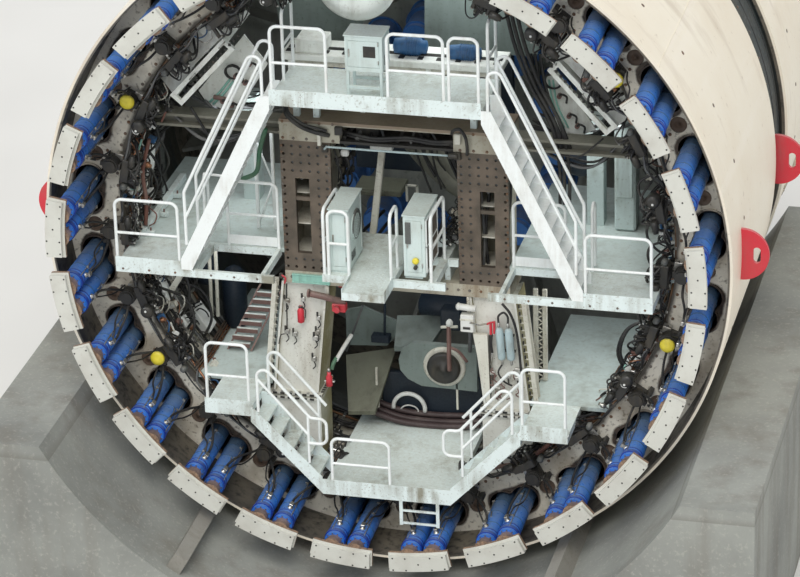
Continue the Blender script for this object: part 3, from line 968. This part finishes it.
    hoses.tube([(1.535, 1.52, -1.38), (1.54, 1.5, -1.26), (1.62, 1.49, -1.19), (1.68, 1.5, -1.26),
                (1.675, 1.52, -1.38)], 0.017, 8, 6)
    hoses.tube([(1.6, 1.5, -1.05), (1.72, 1.49, -1.2), (1.8, 1.5, -1.45), (1.84, 1.52, -1.8), (1.86, 1.54, -2.15)],
               0.02, 8, 6)
    silver.box((1.76, 1.54, -2.2), (1.9, 1.59, -2.12), 0.008)
    hoses.tube([(1.58, 1.54, -2.06), (1.52, 1.52, -2.2), (1.6, 1.54, -2.35), (1.72, 1.56, -2.42)], 0.014, 8, 5)
    for x, z in ((1.42, -2.24), (1.66, -2.28), (1.8, -2.3), (1.5, -2.5)):
        silver.box((x - 0.04, 1.55, z - 0.03), (x + 0.04, COLUMN_FACE, z + 0.03))
        dark.rod((x, 1.56, z - 0.02), (x + 0.01, 1.54, z - 0.1), 0.014, 8)

    for j in range(12):
        x, z = uniform(1.4, 1.8), uniform(-2.62, -2.15)
        brown.tube([(x, 1.58, z), (x + uniform(-0.05, 0.05), 1.55, z - 0.05), (x + uniform(-0.08, 0.08), 1.56, z - 0.1),
                    (x + uniform(-0.1, 0.1), 1.58, z - 0.16)], 0.01, 6, 5)
    # slotted ladder beams standing behind the right column
    for x in (1.93, 2.07):
        pale.box((x - 0.035, 2.27, -2.66), (x + 0.035, 2.33, -1.15))
    for j in range(11):
        z = -1.25 - j * 0.13
        for a, b in (((1.95, 2.3, z), (2.05, 2.3, z - 0.065)), ((2.05, 2.3, z - 0.065), (1.95, 2.3, z - 0.13))):
            pale.tube([a, b], 0.012, 6, 2, False)


def dress_centre():
    """The well between the columns and above the centre deck: disc, pipes, post, bench and cables."""
    dark, pale, brown, white, hoses, motor, grey, red = pieces(
        "well_disc oily", "well_frames cream_frame", "well_pipes brownpipe", "well_white_parts plastic",
        "well_hoses rubber", "well_motors motor", "well_ducts greyhose", "well_red_valves red")

    # disc in its rounded panel, pipe with a cap in front of it
    dark.lathe((0.42, 2.6, -2.77), (0.42, 3, -2.77),
               [(-0.04, 0.0), (-0.04, 0.06), (-0.02, 0.07), (-0.02, 0.2), (-0.03, 0.245), (0.0, 0.26), (0.05, 0.26)],
               40)
    pale.lathe((0.42, 2.64, -2.77), (0.42, 3, -2.77), [(0, 0.3), (0.02, 0.33), (0.06, 0.33)], 40)
    panel = Piece("well_panel", "backwall")
    panel.plate([(-0.3, -2.72), (-0.24, -2.52), (-0.08, -2.42), (0.92, -2.42), (0.92, -3.16), (0.05, -3.14),
                 (-0.16, -3.04), (-0.28, -2.9)], 0.1, (0, 2.78, 0))
    brown.tube([(0.56, 2.42, -1.92), (0.56, 2.42, -2.2), (0.555, 2.42, -2.45), (0.55, 2.46, -2.72)], 0.035, 10, 6)
    brown.tube([(0.56, 2.42, -2.3), (0.7, 2.44, -2.38), (0.82, 2.48, -2.56)], 0.024, 10, 6)
    white.lathe((0.575, 2.42, -1.94), (0.575, 2.42, 0), [(0, 0.05), (0.05, 0.055), (0.08, 0.04), (0.1, 0.02)], 16)
    pale.rod((0.44, 2.42, -1.98), (0.7, 2.42, -1.95), 0.022, 12)
    for k in range(8):
        a = radians(45 * k)
        dark.bolt((0.42 + 0.29 * cos(a), 2.658, -2.77 + 0.29 * sin(a)), -Y, 0.016, 0.016)
    deep = Piece("well_deep_parts", "deepblue")
    for low, high, chamfer in (((-0.66, 3.0, -3.86), (0.93, 3.12, -3.12), 0.02),
                               ((-0.93, 2.98, -3.87), (0.93, 3.3, -3.8), 0.01),
                               ((-0.84, 3.1, -2.69), (-0.55, 3.26, -2.57), 0.012)):
        deep.box(low, high, chamfer)
    deep.lathe((-0.1, 3.3, -2.05), (0.95, 3.3, -2.05), [(0, 0.1), (0.03, 0.17), (0.8, 0.17), (0.86, 0.12)], 24)
    deep.box((0.3, 2.95, -2.3), (0.62, 3.2, -1.95), 0.02)
    deep.rod((-0.64, 3.18, -2.6), (-0.62, 3.18, -2.05), 0.02, 10)
    grey.rod((-1.28, 3.25, -2.95), (-0.98, 3.22, -2.12), 0.018, 10)
    grey.rod((0.84, 2.6, -2.45), (0.86, 2.6, -1.75), 0.03, 12)
    wall = Piece("well_walls", "backwall", slot="wall_white")
    wall.plate([(-1.3, -2.3), (-1.01, -2.22), (-0.5, -2.42), (-0.45, -2.6), (-0.66, -2.86), (-1.3, -2.9)],
               0.05, (0, 3.42, 0))
    wall.add([(-0.5, 3.45, -2.36), (0.34, 3.45, -2.28), (0.12, 2.9, -2.58), (-0.42, 2.9, -2.62), (-0.5, 3.45, -2.41),
              (0.34, 3.45, -2.33), (0.12, 2.9, -2.66), (-0.42, 2.9, -2.7)], SLAB_FACES)
    olive = Piece("well_platform", "olive")
    olive.add([(-1.3, 3.3, -3.04), (-0.49, 3.3, -2.84), (-0.62, 2.4, -3.5), (-1.05, 2.4, -3.54), (-1.3, 3.3, -3.08),
               (-0.49, 3.3, -2.88), (-0.62, 2.4, -3.56), (-1.05, 2.4, -3.6)], SLAB_FACES)
    olive.box((-1.18, 3.66, -0.46), (-0.44, 4.16, -0.36), 0.012)
    olive.box((-1.06, 3.62, -0.45), (-0.7, 3.67, -0.38), 0.01)
    deep.box((-1.3, 4.3, -0.3), (1.2, 4.4, 1.7), 0.02)
    for x in (-0.3, -0.14):
        pale.box((x, 3.4, -0.4), (x + 0.035, 3.44, -0.12))
    pale.box((-0.3, 3.4, -0.15), (-0.105, 3.44, -0.12))
    for x, z0, z1 in ((-0.645, -3.58, -3.33), (0.605, -3.5, -3.02), (-0.66, -3.2, -2.9)):
        pale.box((x - 0.016, 2.68, z0), (x + 0.016, 2.72, z1), 0.004)
    white.tube([(-0.21 + 0.25 * cos(radians(t)), 2.9, -3.66 + 0.25 * sin(radians(t))) for t in range(-10, 200, 15)],
               0.034, 12, 2)
    white.tube([(-0.21 + 0.14 * cos(radians(t)), 2.92, -3.72 + 0.1 * sin(radians(t))) for t in range(0, 190, 15)],
               0.012, 8, 2)
    plum = Piece("well_big_hoses", "plumhose")
    for j, (dy, dz) in enumerate(((0.0, 0.0), (-0.13, -0.01), (0.1, 0.06))):
        plum.tube([(-0.93, 2.86 + dy, -3.56 + dz), (-0.78, 2.86 + dy, -3.66 + dz), (-0.32, 2.84 + dy, -3.79 + dz),
                   (0.22, 2.84 + dy, -3.815 + dz), (0.72, 2.86 + dy, -3.79 + dz), (0.94, 2.88 + dy, -3.76 + dz)],
                  0.048, 12, 8)

    # post with a short top bar, ducts and clusters beyond the centre deck
    pivot = Matrix.Translation(at(-0.52, 2.2, -0.4))
    lean = pivot @ Matrix.Rotation(radians(7.5), 4, "Y") @ pivot.inverted()
    pale.box((-0.56, 2.16, -0.4), (-0.46, 2.24, 1.0), 0.01, lean)
    white.box((-0.5, 2.13, 0.98), (-0.16, 2.25, 1.05), 0.012)
    ducts = Piece("opening_ducts", "duct")
    for j, (radius, shift) in enumerate(((0.13, 0.0), (0.1, 0.26), (0.055, -0.16))):
        ducts.tube([(-0.55 + shift, 3.25, 1.5), (-0.33 + shift, 3.1, 1.15), (0.1 + shift, 2.95, 0.62),
                    (0.5 + shift * 0.7, 2.8, 0.28), (0.9, 2.75, 0.06 + shift * 0.3)], radius, 16, 8)
        for t in range(5):
            u = t / 4
            ducts.lathe((-0.3 + shift + 0.4 * u, 3.1 - 0.15 * u, 1.12 - 0.5 * u), (0.1 + shift, 2.95, 0.62),
                        [(0, radius), (0.006, radius * 1.06), (0.02, radius * 1.06), (0.026, radius)], 20)
    for j in range(12):
        x, z = uniform(-0.2, 0.7), 1.45
        end = x + uniform(0.25, 0.6)
        hoses.tube([(x, 2.6, z), (x + 0.1, 2.55, z - 0.3), ((x + end) * 0.5, 2.5, z - 0.7),
                    (min(end, 0.9), 2.45, 0.3 + uniform(-0.1, 0.3))], choice((0.012, 0.018, 0.024)), 6, 6)
    for j in range(16):
        x, z = uniform(-0.93, -0.72), uniform(0.2, 1.0)
        y = uniform(1.7, 2.1)
        hoses.tube([(-0.94, y, z + 0.2), (x, y - 0.06, z), (x - 0.02, y, z - 0.2), (-0.9, y + 0.05, z - 0.35)],
                   choice((0.014, 0.02)), 6, 5)
        dark.box((x - 0.03, y, z - 0.04), (x + 0.03, y + 0.06, z + 0.05))
    white.box((-0.84, 1.72, 1.02), (-0.72, 1.8, 1.12), 0.02)
    for j in range(40):
        x, y, z = uniform(0.7, 0.92), uniform(1.72, 2.9), -0.38 + abs(R.gauss(0, 0.22))
        a = uniform(0.015, 0.05)
        part = choice((pale, dark, grey, white, dark))
        part.box((x - a, y, z), (x + a, y + 2 * a, z + 2 * a))
        hoses.tube([(x, y, z), (x - 0.08, y - 0.05, z + 0.08), (x - 0.02, y - 0.02, z + 0.16),
                    (x + 0.04, y + 0.05, z + 0.05)], 0.009, 6, 5)
    for j in range(10):
        x = -0.85 + j * 0.19
        hoses.tube([(x, 2.45, -0.9), (x + uniform(-0.15, 0.15), 2.8, -1.25), (x + uniform(-0.3, 0.3), 3.3, -1.15),
                    (x, 4.2, -0.95)], choice((0.018, 0.026)), 6, 6)
    # motors behind the top deck
    for x, z in ((0.1, 2.62), (0.9, 2.56)):
        motor.lathe((x, 2.25, z), (x + 0.4, 2.25, z),
                    [(-0.22, 0.05), (-0.2, 0.11), (-0.05, 0.13), (0.18, 0.13), (0.2, 0.1), (0.27, 0.1), (0.29, 0.04)],
                    24)
        for j in range(6):
            y = -0.03 + j * 0.035
            motor.lathe((x + y, 2.25, z), (x + 1, 2.25, z), [(0, 0.13), (0.0, 0.142), (0.012, 0.142), (0.012, 0.13)],
                        24, False)
        motor.box((x - 0.12, 2.15, z - 0.19), (x + 0.16, 2.35, z - 0.12), 0.01)
        pale.box((x - 0.16, 2.08, z - 0.62), (x + 0.2, 2.42, z - 0.19), 0.012)
    white.box((-0.75, 2.05, 2.1), (-0.45, 2.35, 2.6), 0.015)
    pale.box((-0.75, 2.05, 1.63), (-0.45, 2.35, 2.1), 0.01)
    pale.box((-1.55, 2.02, 2.3), (1.55, 2.12, 2.4), 0.01)
    for x in (-1.45, 1.35):
        pale.box((x, 2.02, 1.63), (x + 0.1, 2.12, 2.31), 0.008)
    for j in range(8):
        x = -1.3 + j * 0.36
        hoses.tube([(x, 2.14, 2.36), (x + 0.1, 2.3, 2.18), (x + uniform(-0.2, 0.3), 2.4, 1.9), (x + 0.1, 2.32, 1.66)],
                   choice((0.018, 0.025)), 6, 6)
    for x in (-1.5, -1.3, -1.1):
        red.box((x - 0.04, 2.42, -1.46), (x + 0.04, 2.5, -1.36), 0.01)


def dress_decks():
    """Raised pattern, bolts, handles, clips and doors on decks, cabinets and panels."""
    tread, bolts, dark, metal, clips, white = pieces(
        "tread_pattern deck", "deck_bolts steel", "cabinet_fittings oily", "door_handles silver", "roof_clips oily",
        "deck_small_parts rail")

    def pattern(x0, y0, x1, y1, z, step=0.085):
        for i in range(int((x1 - x0) / step)):
            for j in range(int((y1 - y0) / step)):
                x, y = x0 + (i + 0.5) * step, y0 + (j + 0.5) * step
                a = radians(45 if (i + j) % 2 else -45)
                u, v = Vector((cos(a), sin(a), 0)), Vector((-sin(a), cos(a), 0))
                c, top = at(x, y, z - 0.001), Vector((0, 0, 0.0035))
                tread.add([c - u * 0.022, c - v * 0.006, c + u * 0.022, c + v * 0.006, c - u * 0.012 + top,
                           c + u * 0.012 + top], [(0, 1, 4), (1, 5, 4), (1, 2, 5), (2, 3, 5), (3, 4, 5), (3, 0, 4)])

    pattern(-1.48, 0.63, 1.48, 1.73, TOP_DECK)
    for s in (-1, 1):
        for inner, outer, far, z in ((2.85, 3.93, 1.5, MIDDLE_DECKS), (2.12, 2.69, 1.4, LANDINGS)):
            x0, x1 = sorted((s * inner, s * outer))
            pattern(x0, 0.64, x1, far, z)
    pattern(-0.4, 0.18, 0.12, 2.1, CENTRE_DECK)
    pattern(-0.9, 0.64, 0.9, 3.3, BOTTOM_DECK)

    # cabinets: hinges, handles, vents
    for x0, x1, z0, z1 in ((-0.79, -0.5, -0.36, 0.6), (0.32, 0.64, -0.36, 0.59)):
        metal.box((x0 + 0.05, 0.742, z0 + 0.45), (x0 + 0.07, 0.757, z0 + 0.57), 0.003)
        for z in (z0 + 0.15, z1 - 0.18):
            metal.rod((x1 - 0.045, 0.752, z), (x1 - 0.045, 0.752, z + 0.07), 0.008, 8)
        for side_x, out in ((x0, -1), (x1, 1)):
            for j in range(7):
                z = z0 + 0.1 + 0.02 * j
                a, b = sorted((side_x, side_x + out * 0.004))
                dark.box((a, 0.9, z), (b, 1.12, z + 0.009), 0.001)
            a, b = sorted((side_x, side_x + out * 0.006))
            for y in (0.82, 1.47):
                white.box((a, y, z0 + 0.07), (b, y + 0.015, z1 - 0.05), 0.002)
    fan = Piece("cabinet_fan", "fan")
    fan.lathe((-0.4995, 1.18, 0.22), (0, 1.18, 0.22),
              [(0, 0.225), (0.022, 0.225), (0.028, 0.212), (0.02, 0.2), (0.02, 0.0)], 36)
    for j in range(8):
        radius = 0.03 + 0.022 * j
        fan.tube([(-0.476, 1.18 + radius * cos(radians(t)), 0.22 + radius * sin(radians(t)))
                  for t in range(0, 361, 30)], 0.003, 4, 1, False)
    fan.box((0.352, 0.738, 0.16), (0.432, 0.757, 0.5), 0.004)
    panel = Piece("cabinet_panel", "flange")
    panel.box((0.64, 0.8, -0.27), (0.656, 1.46, 0.5), 0.004)
    for y in (0.785, 1.12, 1.455):
        white.box((0.64, y, -0.29), (0.664, y + 0.022, 0.52), 0.003)
    for z in (-0.3, 0.1, 0.51):
        white.box((0.64, 0.785, z), (0.664, 1.477, z + 0.02), 0.003)
    dark.rod((0.5, 0.75, -0.2), (0.5, 0.7, -0.2), 0.03, 14)
    capped = Piece("cabinet_cap", "yellow")
    capped.lathe((0.5, 0.75, -0.1), (0.5, 0, -0.1), [(0, 0.05), (0.03, 0.05), (0.045, 0.035), (0.048, 0.0)], 24)
    metal.box((-0.42, 0.783, 3.0), (-0.4, 0.797, 3.12), 0.003)
    dark.box((-0.2, 0.794, 3.0), (-0.02, 0.799, 3.17), 0.002)
    for z in (2.9, 3.18):
        metal.rod((0.02, 0.791, z), (0.02, 0.791, z + 0.06), 0.008, 8)
    for j in range(6):
        dark.box((0.0802, 0.9, 2.86 + 0.025 * j), (0.084, 1.12, 2.87 + 0.025 * j), 0.001)

    # post feet and stair bolts
    for x in (-1.51, -0.7, 0.2, 1.01, 1.09, 1.515):
        white.box((x - 0.05, 0.572, TOP_DECK), (x + 0.05, 0.625, TOP_DECK + 0.008), 0.002)
        for d in (-0.038, 0.038):
            bolts.bolt((x + d, 0.598, TOP_DECK + 0.008), (0, 0, 1), 0.008, 0.008)
    for s in (-1, 1):
        for x in (2.076, 2.715):
            white.box((s * x - 0.05, 0.572, LANDINGS), (s * x + 0.05, 0.625, LANDINGS + 0.008), 0.002)
        for x in (1.85, 2.2, 2.55, 3.1, 3.5, 3.9):
            bolts.bolt((s * x, 0.5598, -0.51), -Y, 0.012, 0.01)
        a = radians(48 * s)
        tangent = Vector((-cos(a), 0, -sin(a)))
        for k in range(12):
            u = -0.42 + k * 0.098
            spot = around(3.62, 48 * s, 1.497) + tangent * (-u * s)
            clips.box(spot - Vector((0.02, 0.012, 0.02)), spot + Vector((0.02, 0.004, 0.02)), 0.004)
        for u in (-0.25, 0.45):
            b = around(3.7, 48 * s, 1.49) + tangent * (-u * s)
            metal.tube([b, b - Y * 0.05, b - Y * 0.06 + tangent * 0.08, b + tangent * 0.12 - Y * 0.05,
                        b + tangent * 0.12], 0.01, 8, 5)


def dress_side_bays():
    """Hoses, boxes, a stair and posts that stand on the side decks inside the shield."""
    hoses, grey, pale, white, dark, steps, rails, green = pieces(
        "bay_hoses rubber", "bay_ducts greyhose", "bay_frames cream_frame", "bay_boxes plastic",
        "bay_stair_and_blocks brownpipe", "bay_treads deck", "bay_posts rail", "bay_green_hose greenhose")

    # dark stair with pale treads on the lower left side deck
    foot, rise = Vector((-2.92, 2.42)), Vector((0.32, 0.56))
    for j in range(8):
        x, y = foot + rise * (j / 7)
        z = -2.56 + 0.62 * j / 7
        steps.box((x, y, z), (x + 0.34, y + 0.055, z + 0.018), 0.004)
        dark.box((x, y - 0.012, z - 0.05), (x + 0.34, y, z + 0.018), 0.003)
    for side in (-0.03, 0.34):
        low, top = at(foot.x + side, foot.y, -2.66), at(foot.x + rise.x * 1.12 + side, foot.y + rise.y * 1.12, -1.86)
        deep, wide = Vector((0, 0.1, 0)), Vector((0.03, 0, 0))
        corners = [low, low + wide, low + wide + deep, low + deep, top, top + wide, top + wide + deep, top + deep]
        dark.add(corners, [(3, 2, 1, 0), (4, 5, 6, 7), (0, 1, 5, 4), (1, 2, 6, 5), (2, 3, 7, 6), (3, 0, 4, 7)])
    tanks = Piece("bay_tanks", "deepblue")
    for x, y, z, high in ((-3.05, 3.3, -2.66, 1.0), (-3.45, 3.2, -1.9, 0.9)):
        tanks.lathe((x, y, z), (x, y, 0),
                    [(0, 0.16), (0.05, 0.19), (high - 0.15, 0.19), (high - 0.05, 0.12), (high, 0.04)], 24)
    tanks.lathe((2.42, 3.45, 0.3), (2.42, 3.45, 2), [(0, 0.2), (0.06, 0.26), (0.55, 0.26), (0.66, 0.18), (0.7, 0.05)],
                28)
    bay = Piece("bay_cabinet", "green")
    bay.box((2.98, 3.05, -0.45), (3.3, 3.4, 1.25), 0.03)
    bay.box((3.02, 3.02, 0.1), (3.26, 3.06, 0.95), 0.01)
    back = Piece("top_back_wall", "backwall")
    back.plate([(-2.0, 2.1), (-0.95, 2.1), (-0.75, 2.7), (-0.9, 3.5), (-1.1, 4.03), (-2.2, 3.55)], 0.03, (0, 3.05, 0))
    back.plate([(0.05, 2.1), (1.75, 2.1), (2.15, 3.58), (1.1, 4.03), (0.1, 4.175)], 0.03, (0, 3.45, 0))
    drum = Piece("top_drum", "roof")
    drum.lathe((-0.8, 2.72, 3.38), (-0.8, 3.4, 3.38),
               [(0, 0.0), (0, 0.4), (-0.02, 0.41), (-0.02, 0.57), (0.03, 0.62), (0.65, 0.62)], 40)
    drum.box((-1.75, 1.95, 2.4), (1.55, 2.58, 2.5), 0.01)
    drum.box((-1.55, 2.02, 2.5), (-1.1, 2.42, 2.7), 0.012)
    for x in (-1.62, -0.55, 0.45, 1.42):
        for y in (1.98, 2.24):
            drum.box((x - 0.035, y, 1.625), (x + 0.035, y + 0.07, 2.405))
    drum.box((-0.86, 2.85, 3.95), (-0.74, 3.25, 4.095), 0.008)
    for x in (-3.22, -3.12):
        pale.rod((x, 2.6, -2.2), (x + 0.02, 2.6, -0.6), 0.028, 12)
    pale.plate([(0, 0), (0.1, 0), (0.1, 1.0), (0, 1.0)], 0.08, (-3.75, 2.1, -1.62), (0.8, 0, -0.3), (0.35, 0.5, 0.62))
    steps.box((-3.96, 1.6, -0.45), (-3.86, 3.7, -0.34), 0.008)
    for y in (1.62, 2.3, 3.0):
        steps.box((-3.9, y, -0.45), (-3.74, y + 0.06, -0.38))
        dark.rod((-3.8, y + 0.03, -0.38), (-3.8, y + 0.03, -0.33), 0.014, 10)
    # posts with a diagonal beside the left stair
    for x in (-2.28, -2.02):
        rails.box((x - 0.025, 2.18, -0.46), (x + 0.025, 2.23, 1.3))
    for x0, z0, x1 in ((-2.28, -0.4, -2.02), (-2.02, 0.3, -2.28)):
        rails.tube([(x0, 2.205, z0), (x1, 2.205, z0 + 0.7)], 0.016, 8, 2, False)
    rails.tube([(-2.95, 1.7, -0.45), (-2.95, 1.7, 0.5), (-2.88, 1.7, 0.58), (-2.62, 1.7, 0.58)], 0.02, 10, 5)

    for s in (-1, 1):
        for j in range(16):
            y = 1.75 + 0.1 * j
            x0, x1 = s * uniform(1.8, 2.3), s * uniform(2.9, 3.7)
            z0 = uniform(1.34, 1.46)
            sag = uniform(0.05, 0.3)
            (hoses, grey, hoses)[j % 3].tube([(x0, y, z0), (x0 * 0.7 + x1 * 0.3, y + 0.05, z0 - sag),
                                              (x0 * 0.35 + x1 * 0.65, y, z0 - sag * 1.1), (x1, y, z0 + 0.2)],
                                             choice((0.014, 0.02, 0.026)), 6, 6)
        for count, span, y0, pitch, radii, turns, radius in ((7, (62, 82), 1.9, 0.2, (4.1, 3.9, 3.85, 4.1),
                                                              (0, 3, 8, 13), 0.02),
                                                             (5, (110, 128), 1.8, 0.3, (4.1, 3.8, 3.75, 4.1),
                                                              (0, -3, -9, -14), 0.024)):
            for j in range(count):
                angle = s * uniform(*span)
                hoses.tube([around(r, angle + turn * s, y0 + pitch * j + (0, 0, 0.1, 0.1)[k]) for k,
                            (r, turn) in enumerate(zip(radii, turns))], radius, 6, 6)
        # boxes on the ring's sides
        for angle, y, w, l, h in ((70, 1.75, 0.18, 0.3, 0.1), (84, 2.3, 0.25, 0.4, 0.14), (112, 1.9, 0.2, 0.3, 0.12),
                                  (124, 2.5, 0.22, 0.35, 0.14)):
            white.turn = clock(-s * angle)
            white.box((-w, y, 4.17 - h), (w, y + l, 4.17), 0.012)
        white.turn = FLAT
    green.tube([(-1.95, 1.68, 1.4), (-2.05, 1.66, 1.05), (-2.12, 1.68, 0.7), (-2.35, 1.7, 0.55)], 0.035, 10, 6)
    # sloped panels outside the inclined bars and triangular ones inside them
    roof = Piece("bay_panels", "roof")
    for s in (-1, 1):
        near, far = ([around(r, -s * a, y) for a in (35.5, 43, 51, 60.5)] for r, y in ((3.79, 1.6), (4.12, 1.86)))
        down = Vector((0, 0.02, 0.02))
        roof.add(near + far + [p + down for p in near] + [p + down for p in far],
                 [(k, k + 1, k + 5, k + 4) for k in range(3)] + [(k + 8, k + 12, k + 13, k + 9) for k in range(3)]
                 + [(k, k + 8, k + 9, k + 1) for k in range(3)] + [(k + 4, k + 5, k + 13, k + 12) for k in range(3)]
                 + [(0, 4, 12, 8), (3, 11, 15, 7)])
    roof.plate([(-3.1, 1.72), (-2.97, 1.51), (-2.52, 1.4), (-2.02, 2.22), (-2.36, 2.66)], 0.03, (0, 2.2, 0))
    roof.plate([(2.12, 2.3), (2.36, 1.38), (2.62, 1.4), (2.88, 1.55), (2.3, 2.44)], 0.03, (0, 2.2, 0))
    lines = Piece("bay_panel_lines", "turquoise")
    for j in (0, 1):
        lines.tube([(-2.93 + 0.05 * j, 2.15, 1.56 - 0.03 * j), (-2.76 + 0.05 * j, 2.15, 1.74 - 0.03 * j),
                    (-2.6 + 0.05 * j, 2.15, 1.95 - 0.03 * j)], 0.018, 8, 4)
        lines.tube([(2.2 + 0.06 * j, 2.15, 2.28), (2.26 + 0.06 * j, 2.15, 1.9), (2.42 + 0.06 * j, 2.15, 1.55)],
                   0.014, 8, 4)
    for x, z in ((-2.72, 1.6), (-2.58, 1.55), (-2.5, 2.02), (-2.28, 2.22), (-2.36, 1.92), (2.5, 1.75), (2.36, 2.05),
                 (2.62, 1.6)):
        dark.rod((x, 2.17, z), (x, 2.08, z), 0.035, 12)
        hoses.tube([(x, 2.1, z), (x + 0.05, 2.02, z + 0.07), (x + 0.12, 2.05, z + 0.02), (x + 0.1, 2.12, z - 0.1)],
                   0.016, 8, 5)
    dark.rod((-2.86, 2.12, 1.66), (-2.66, 2.12, 1.63), 0.035, 12)
    # hoses down the right bay and along the ring's edge
    for x in (1.98, 2.04, 2.12):
        hoses.tube([(x, 1.95, 2.75), (x + 0.1, 1.9, 2.2), (x + 0.34, 1.85, 1.6), (x + 0.42, 1.9, 1.0),
                    (x + 0.4, 2.0, 0.4)], 0.026, 8, 8)
    for j in range(6):
        a = 72 + 5 * j
        hoses.tube([around(4.05, -a, 1.4), around(3.84, -a - 1, 1.35), around(3.8, -a - 4, 1.36),
                    around(3.93, -a - 7, 1.38), around(4.08, -a - 8, 1.42)], 0.02, 8, 6)
    for x in (0, 0.07, 0.15):
        hoses.tube([(1.55 + x, 2.0, 3.8), (1.66 + x, 1.9, 3.3), (1.8 + x, 1.85, 2.8), (2.0 + x, 1.82, 2.3),
                    (2.26 + x, 1.82, 1.8), (2.42 + x, 1.9, 1.3)], 0.03, 8, 8)
    for x, z, radius in ((2.27, 2.28, 0.12), (-2.54, 2.08, 0.11)):
        for k in (0, 1):
            hoses.tube([(x + (radius + 0.01 * k) * sin(a * pi / 4),
                         2.13 - 0.03 * k, z + (radius - 0.008 * k) * cos(a * pi / 4)) for a in range(9)], 0.014, 8, 4)
    for j in range(12):
        t = j / 11
        hoses.box((-1.7 + 3.1 * t, 2.05, 2.495), (-1.62 + 3.1 * t, 2.16, 2.512), 0.003)
    hoses.box((-1.7, 2.2, 2.495), (1.5, 2.3, 2.508), 0.003)
    redhose = Piece("bay_red_hoses", "redhose")
    for path, radius in (([(3.0, 1.8, -2.9), (2.75, 1.75, -3.02), (2.45, 1.7, -3.2), (2.1, 1.68, -3.3)], 0.035),
                         ([(2.3, 1.5, -3.3), (1.9, 1.45, -3.62), (1.55, 1.42, -3.72), (1.25, 1.42, -3.82)], 0.035),
                         ([(-3.75, 1.68, 1.1), (-3.86, 1.62, 0.6), (-3.84, 1.64, 0.1), (-3.88, 1.66, -0.3)], 0.03)):
        redhose.tube(path, radius, 10, 8)


def dress_skin():
    """Weld seams, plugs and lines on the shield's outside, and the seals of its joint band."""
    seam, plugs, bolts = pieces("skin_welds cream_skin", "skin_plugs steel", "band_bolts steel")
    seals = Piece("band_seals", "rubber", slot="band_dark")
    seam_r, plug_r, seal_r, bolt_r = 5.1215, 5.1195, 4.986, 4.9848
    for angle in (20, 92, 164, -52, -124):
        for y0, y1 in ((0.82, 4.65), (6.28, 8.15)):
            seam.tube([around(seam_r + 0.0012 * (j % 2), angle, y0 + (y1 - y0) * j / 27) for j in range(28)],
                      0.006, 5, 1, False)
    for k in range(36):
        angle = k * 10 + 5
        if abs(angle - 180) < 42:
            continue
        for y in (1.9, 7.0):
            spot = around(plug_r, angle, y)
            out = (spot - at(0, y, 0)).normalized()
            plugs.lathe(spot, spot + out, [(0, 0.032), (0.003, 0.032), (0.003, 0.022), (0.007, 0.02), (0.008, 0.0)], 14)
    for y in (4.9, 5.02, 5.2, 5.6, 5.95):
        seals.tube([around(seal_r, j * 3, y) for j in range(121)], 0.01, 6, 1, False)
    for k in range(72):
        spot = around(bolt_r, k * 5 + 2.5, 5.4)
        bolts.bolt(spot, spot - at(0, 5.4, 0), 0.016, 0.014)


def dress_cutterhead():
    """Bolts and wear plates on the cutterhead."""
    bolts = Piece("cutterhead_bolts", "steel", body="cutterhead")
    wear = Piece("cutterhead_wear_plates", "cutter", body="cutterhead")
    for k in range(24):
        wear.turn = clock(k * 15 + 7.5)
        for y in (8.58, 8.8):
            wear.plate([(-0.22, 0), (0.22, 0), (0.22, 0.16), (-0.22, 0.16)], 0.006, (0, y, 5.16), (1, 0, 0), (0, 1, 0))
            bolts.turn = wear.turn
            for x in (-0.17, 0.17):
                bolts.bolt((x, y + 0.08, 5.166), (0, 0, 1), 0.012, 0.01)
    for k in range(16):
        bolts.turn = clock(k * 22.5)
        bolts.bolt((0, 9.0498, 0.66), Y, 0.03, 0.025)
    for k in range(8):
        bolts.turn = clock(k * 45)
        for r in (1.5, 2.2, 3.0, 3.8, 4.5):
            for x in (-0.38, 0.38):
                bolts.bolt((x, 9.0098, r), Y, 0.018, 0.016)


DRESS_STEPS = (dress_shoes, dress_barrels, dress_units, dress_ring, dress_clusters, dress_frame, dress_columns,
               dress_centre, dress_decks, dress_side_bays, dress_skin, dress_cutterhead)


def dress_nodes():
    for name, node in NODES.items():
        material = MATERIALS["pad" if name.startswith("shoe_") else NODE_MATERIALS[name]]
        node.data.materials.clear()
        node.data.materials.append(material)


def add_floor():
    p = Paint("studio_floor")
    tone = p.mix(p.ramp(p.noise(0.15, 2), 0.4, 0.6), (0.72, 0.71, 0.68), (0.76, 0.75, 0.72))
    mesh = bpy.data.meshes.new("floor")
    size = 120
    mesh.from_pydata([(-size, -size, -0.01), (size, -size, -0.01), (size, size, -0.01), (-size, size, -0.01)], [],
                     [(0, 1, 2, 3)])
    mesh.materials.append(p.finish(tone, 0.9))
    floor = put("floor", mesh)


add_camera()
add_lights()
dress_nodes()
for step in DRESS_STEPS:
    step()
for piece in Piece.made:
    piece.done()
add_floor()

bpy.context.scene.view_settings.view_transform = "Standard"
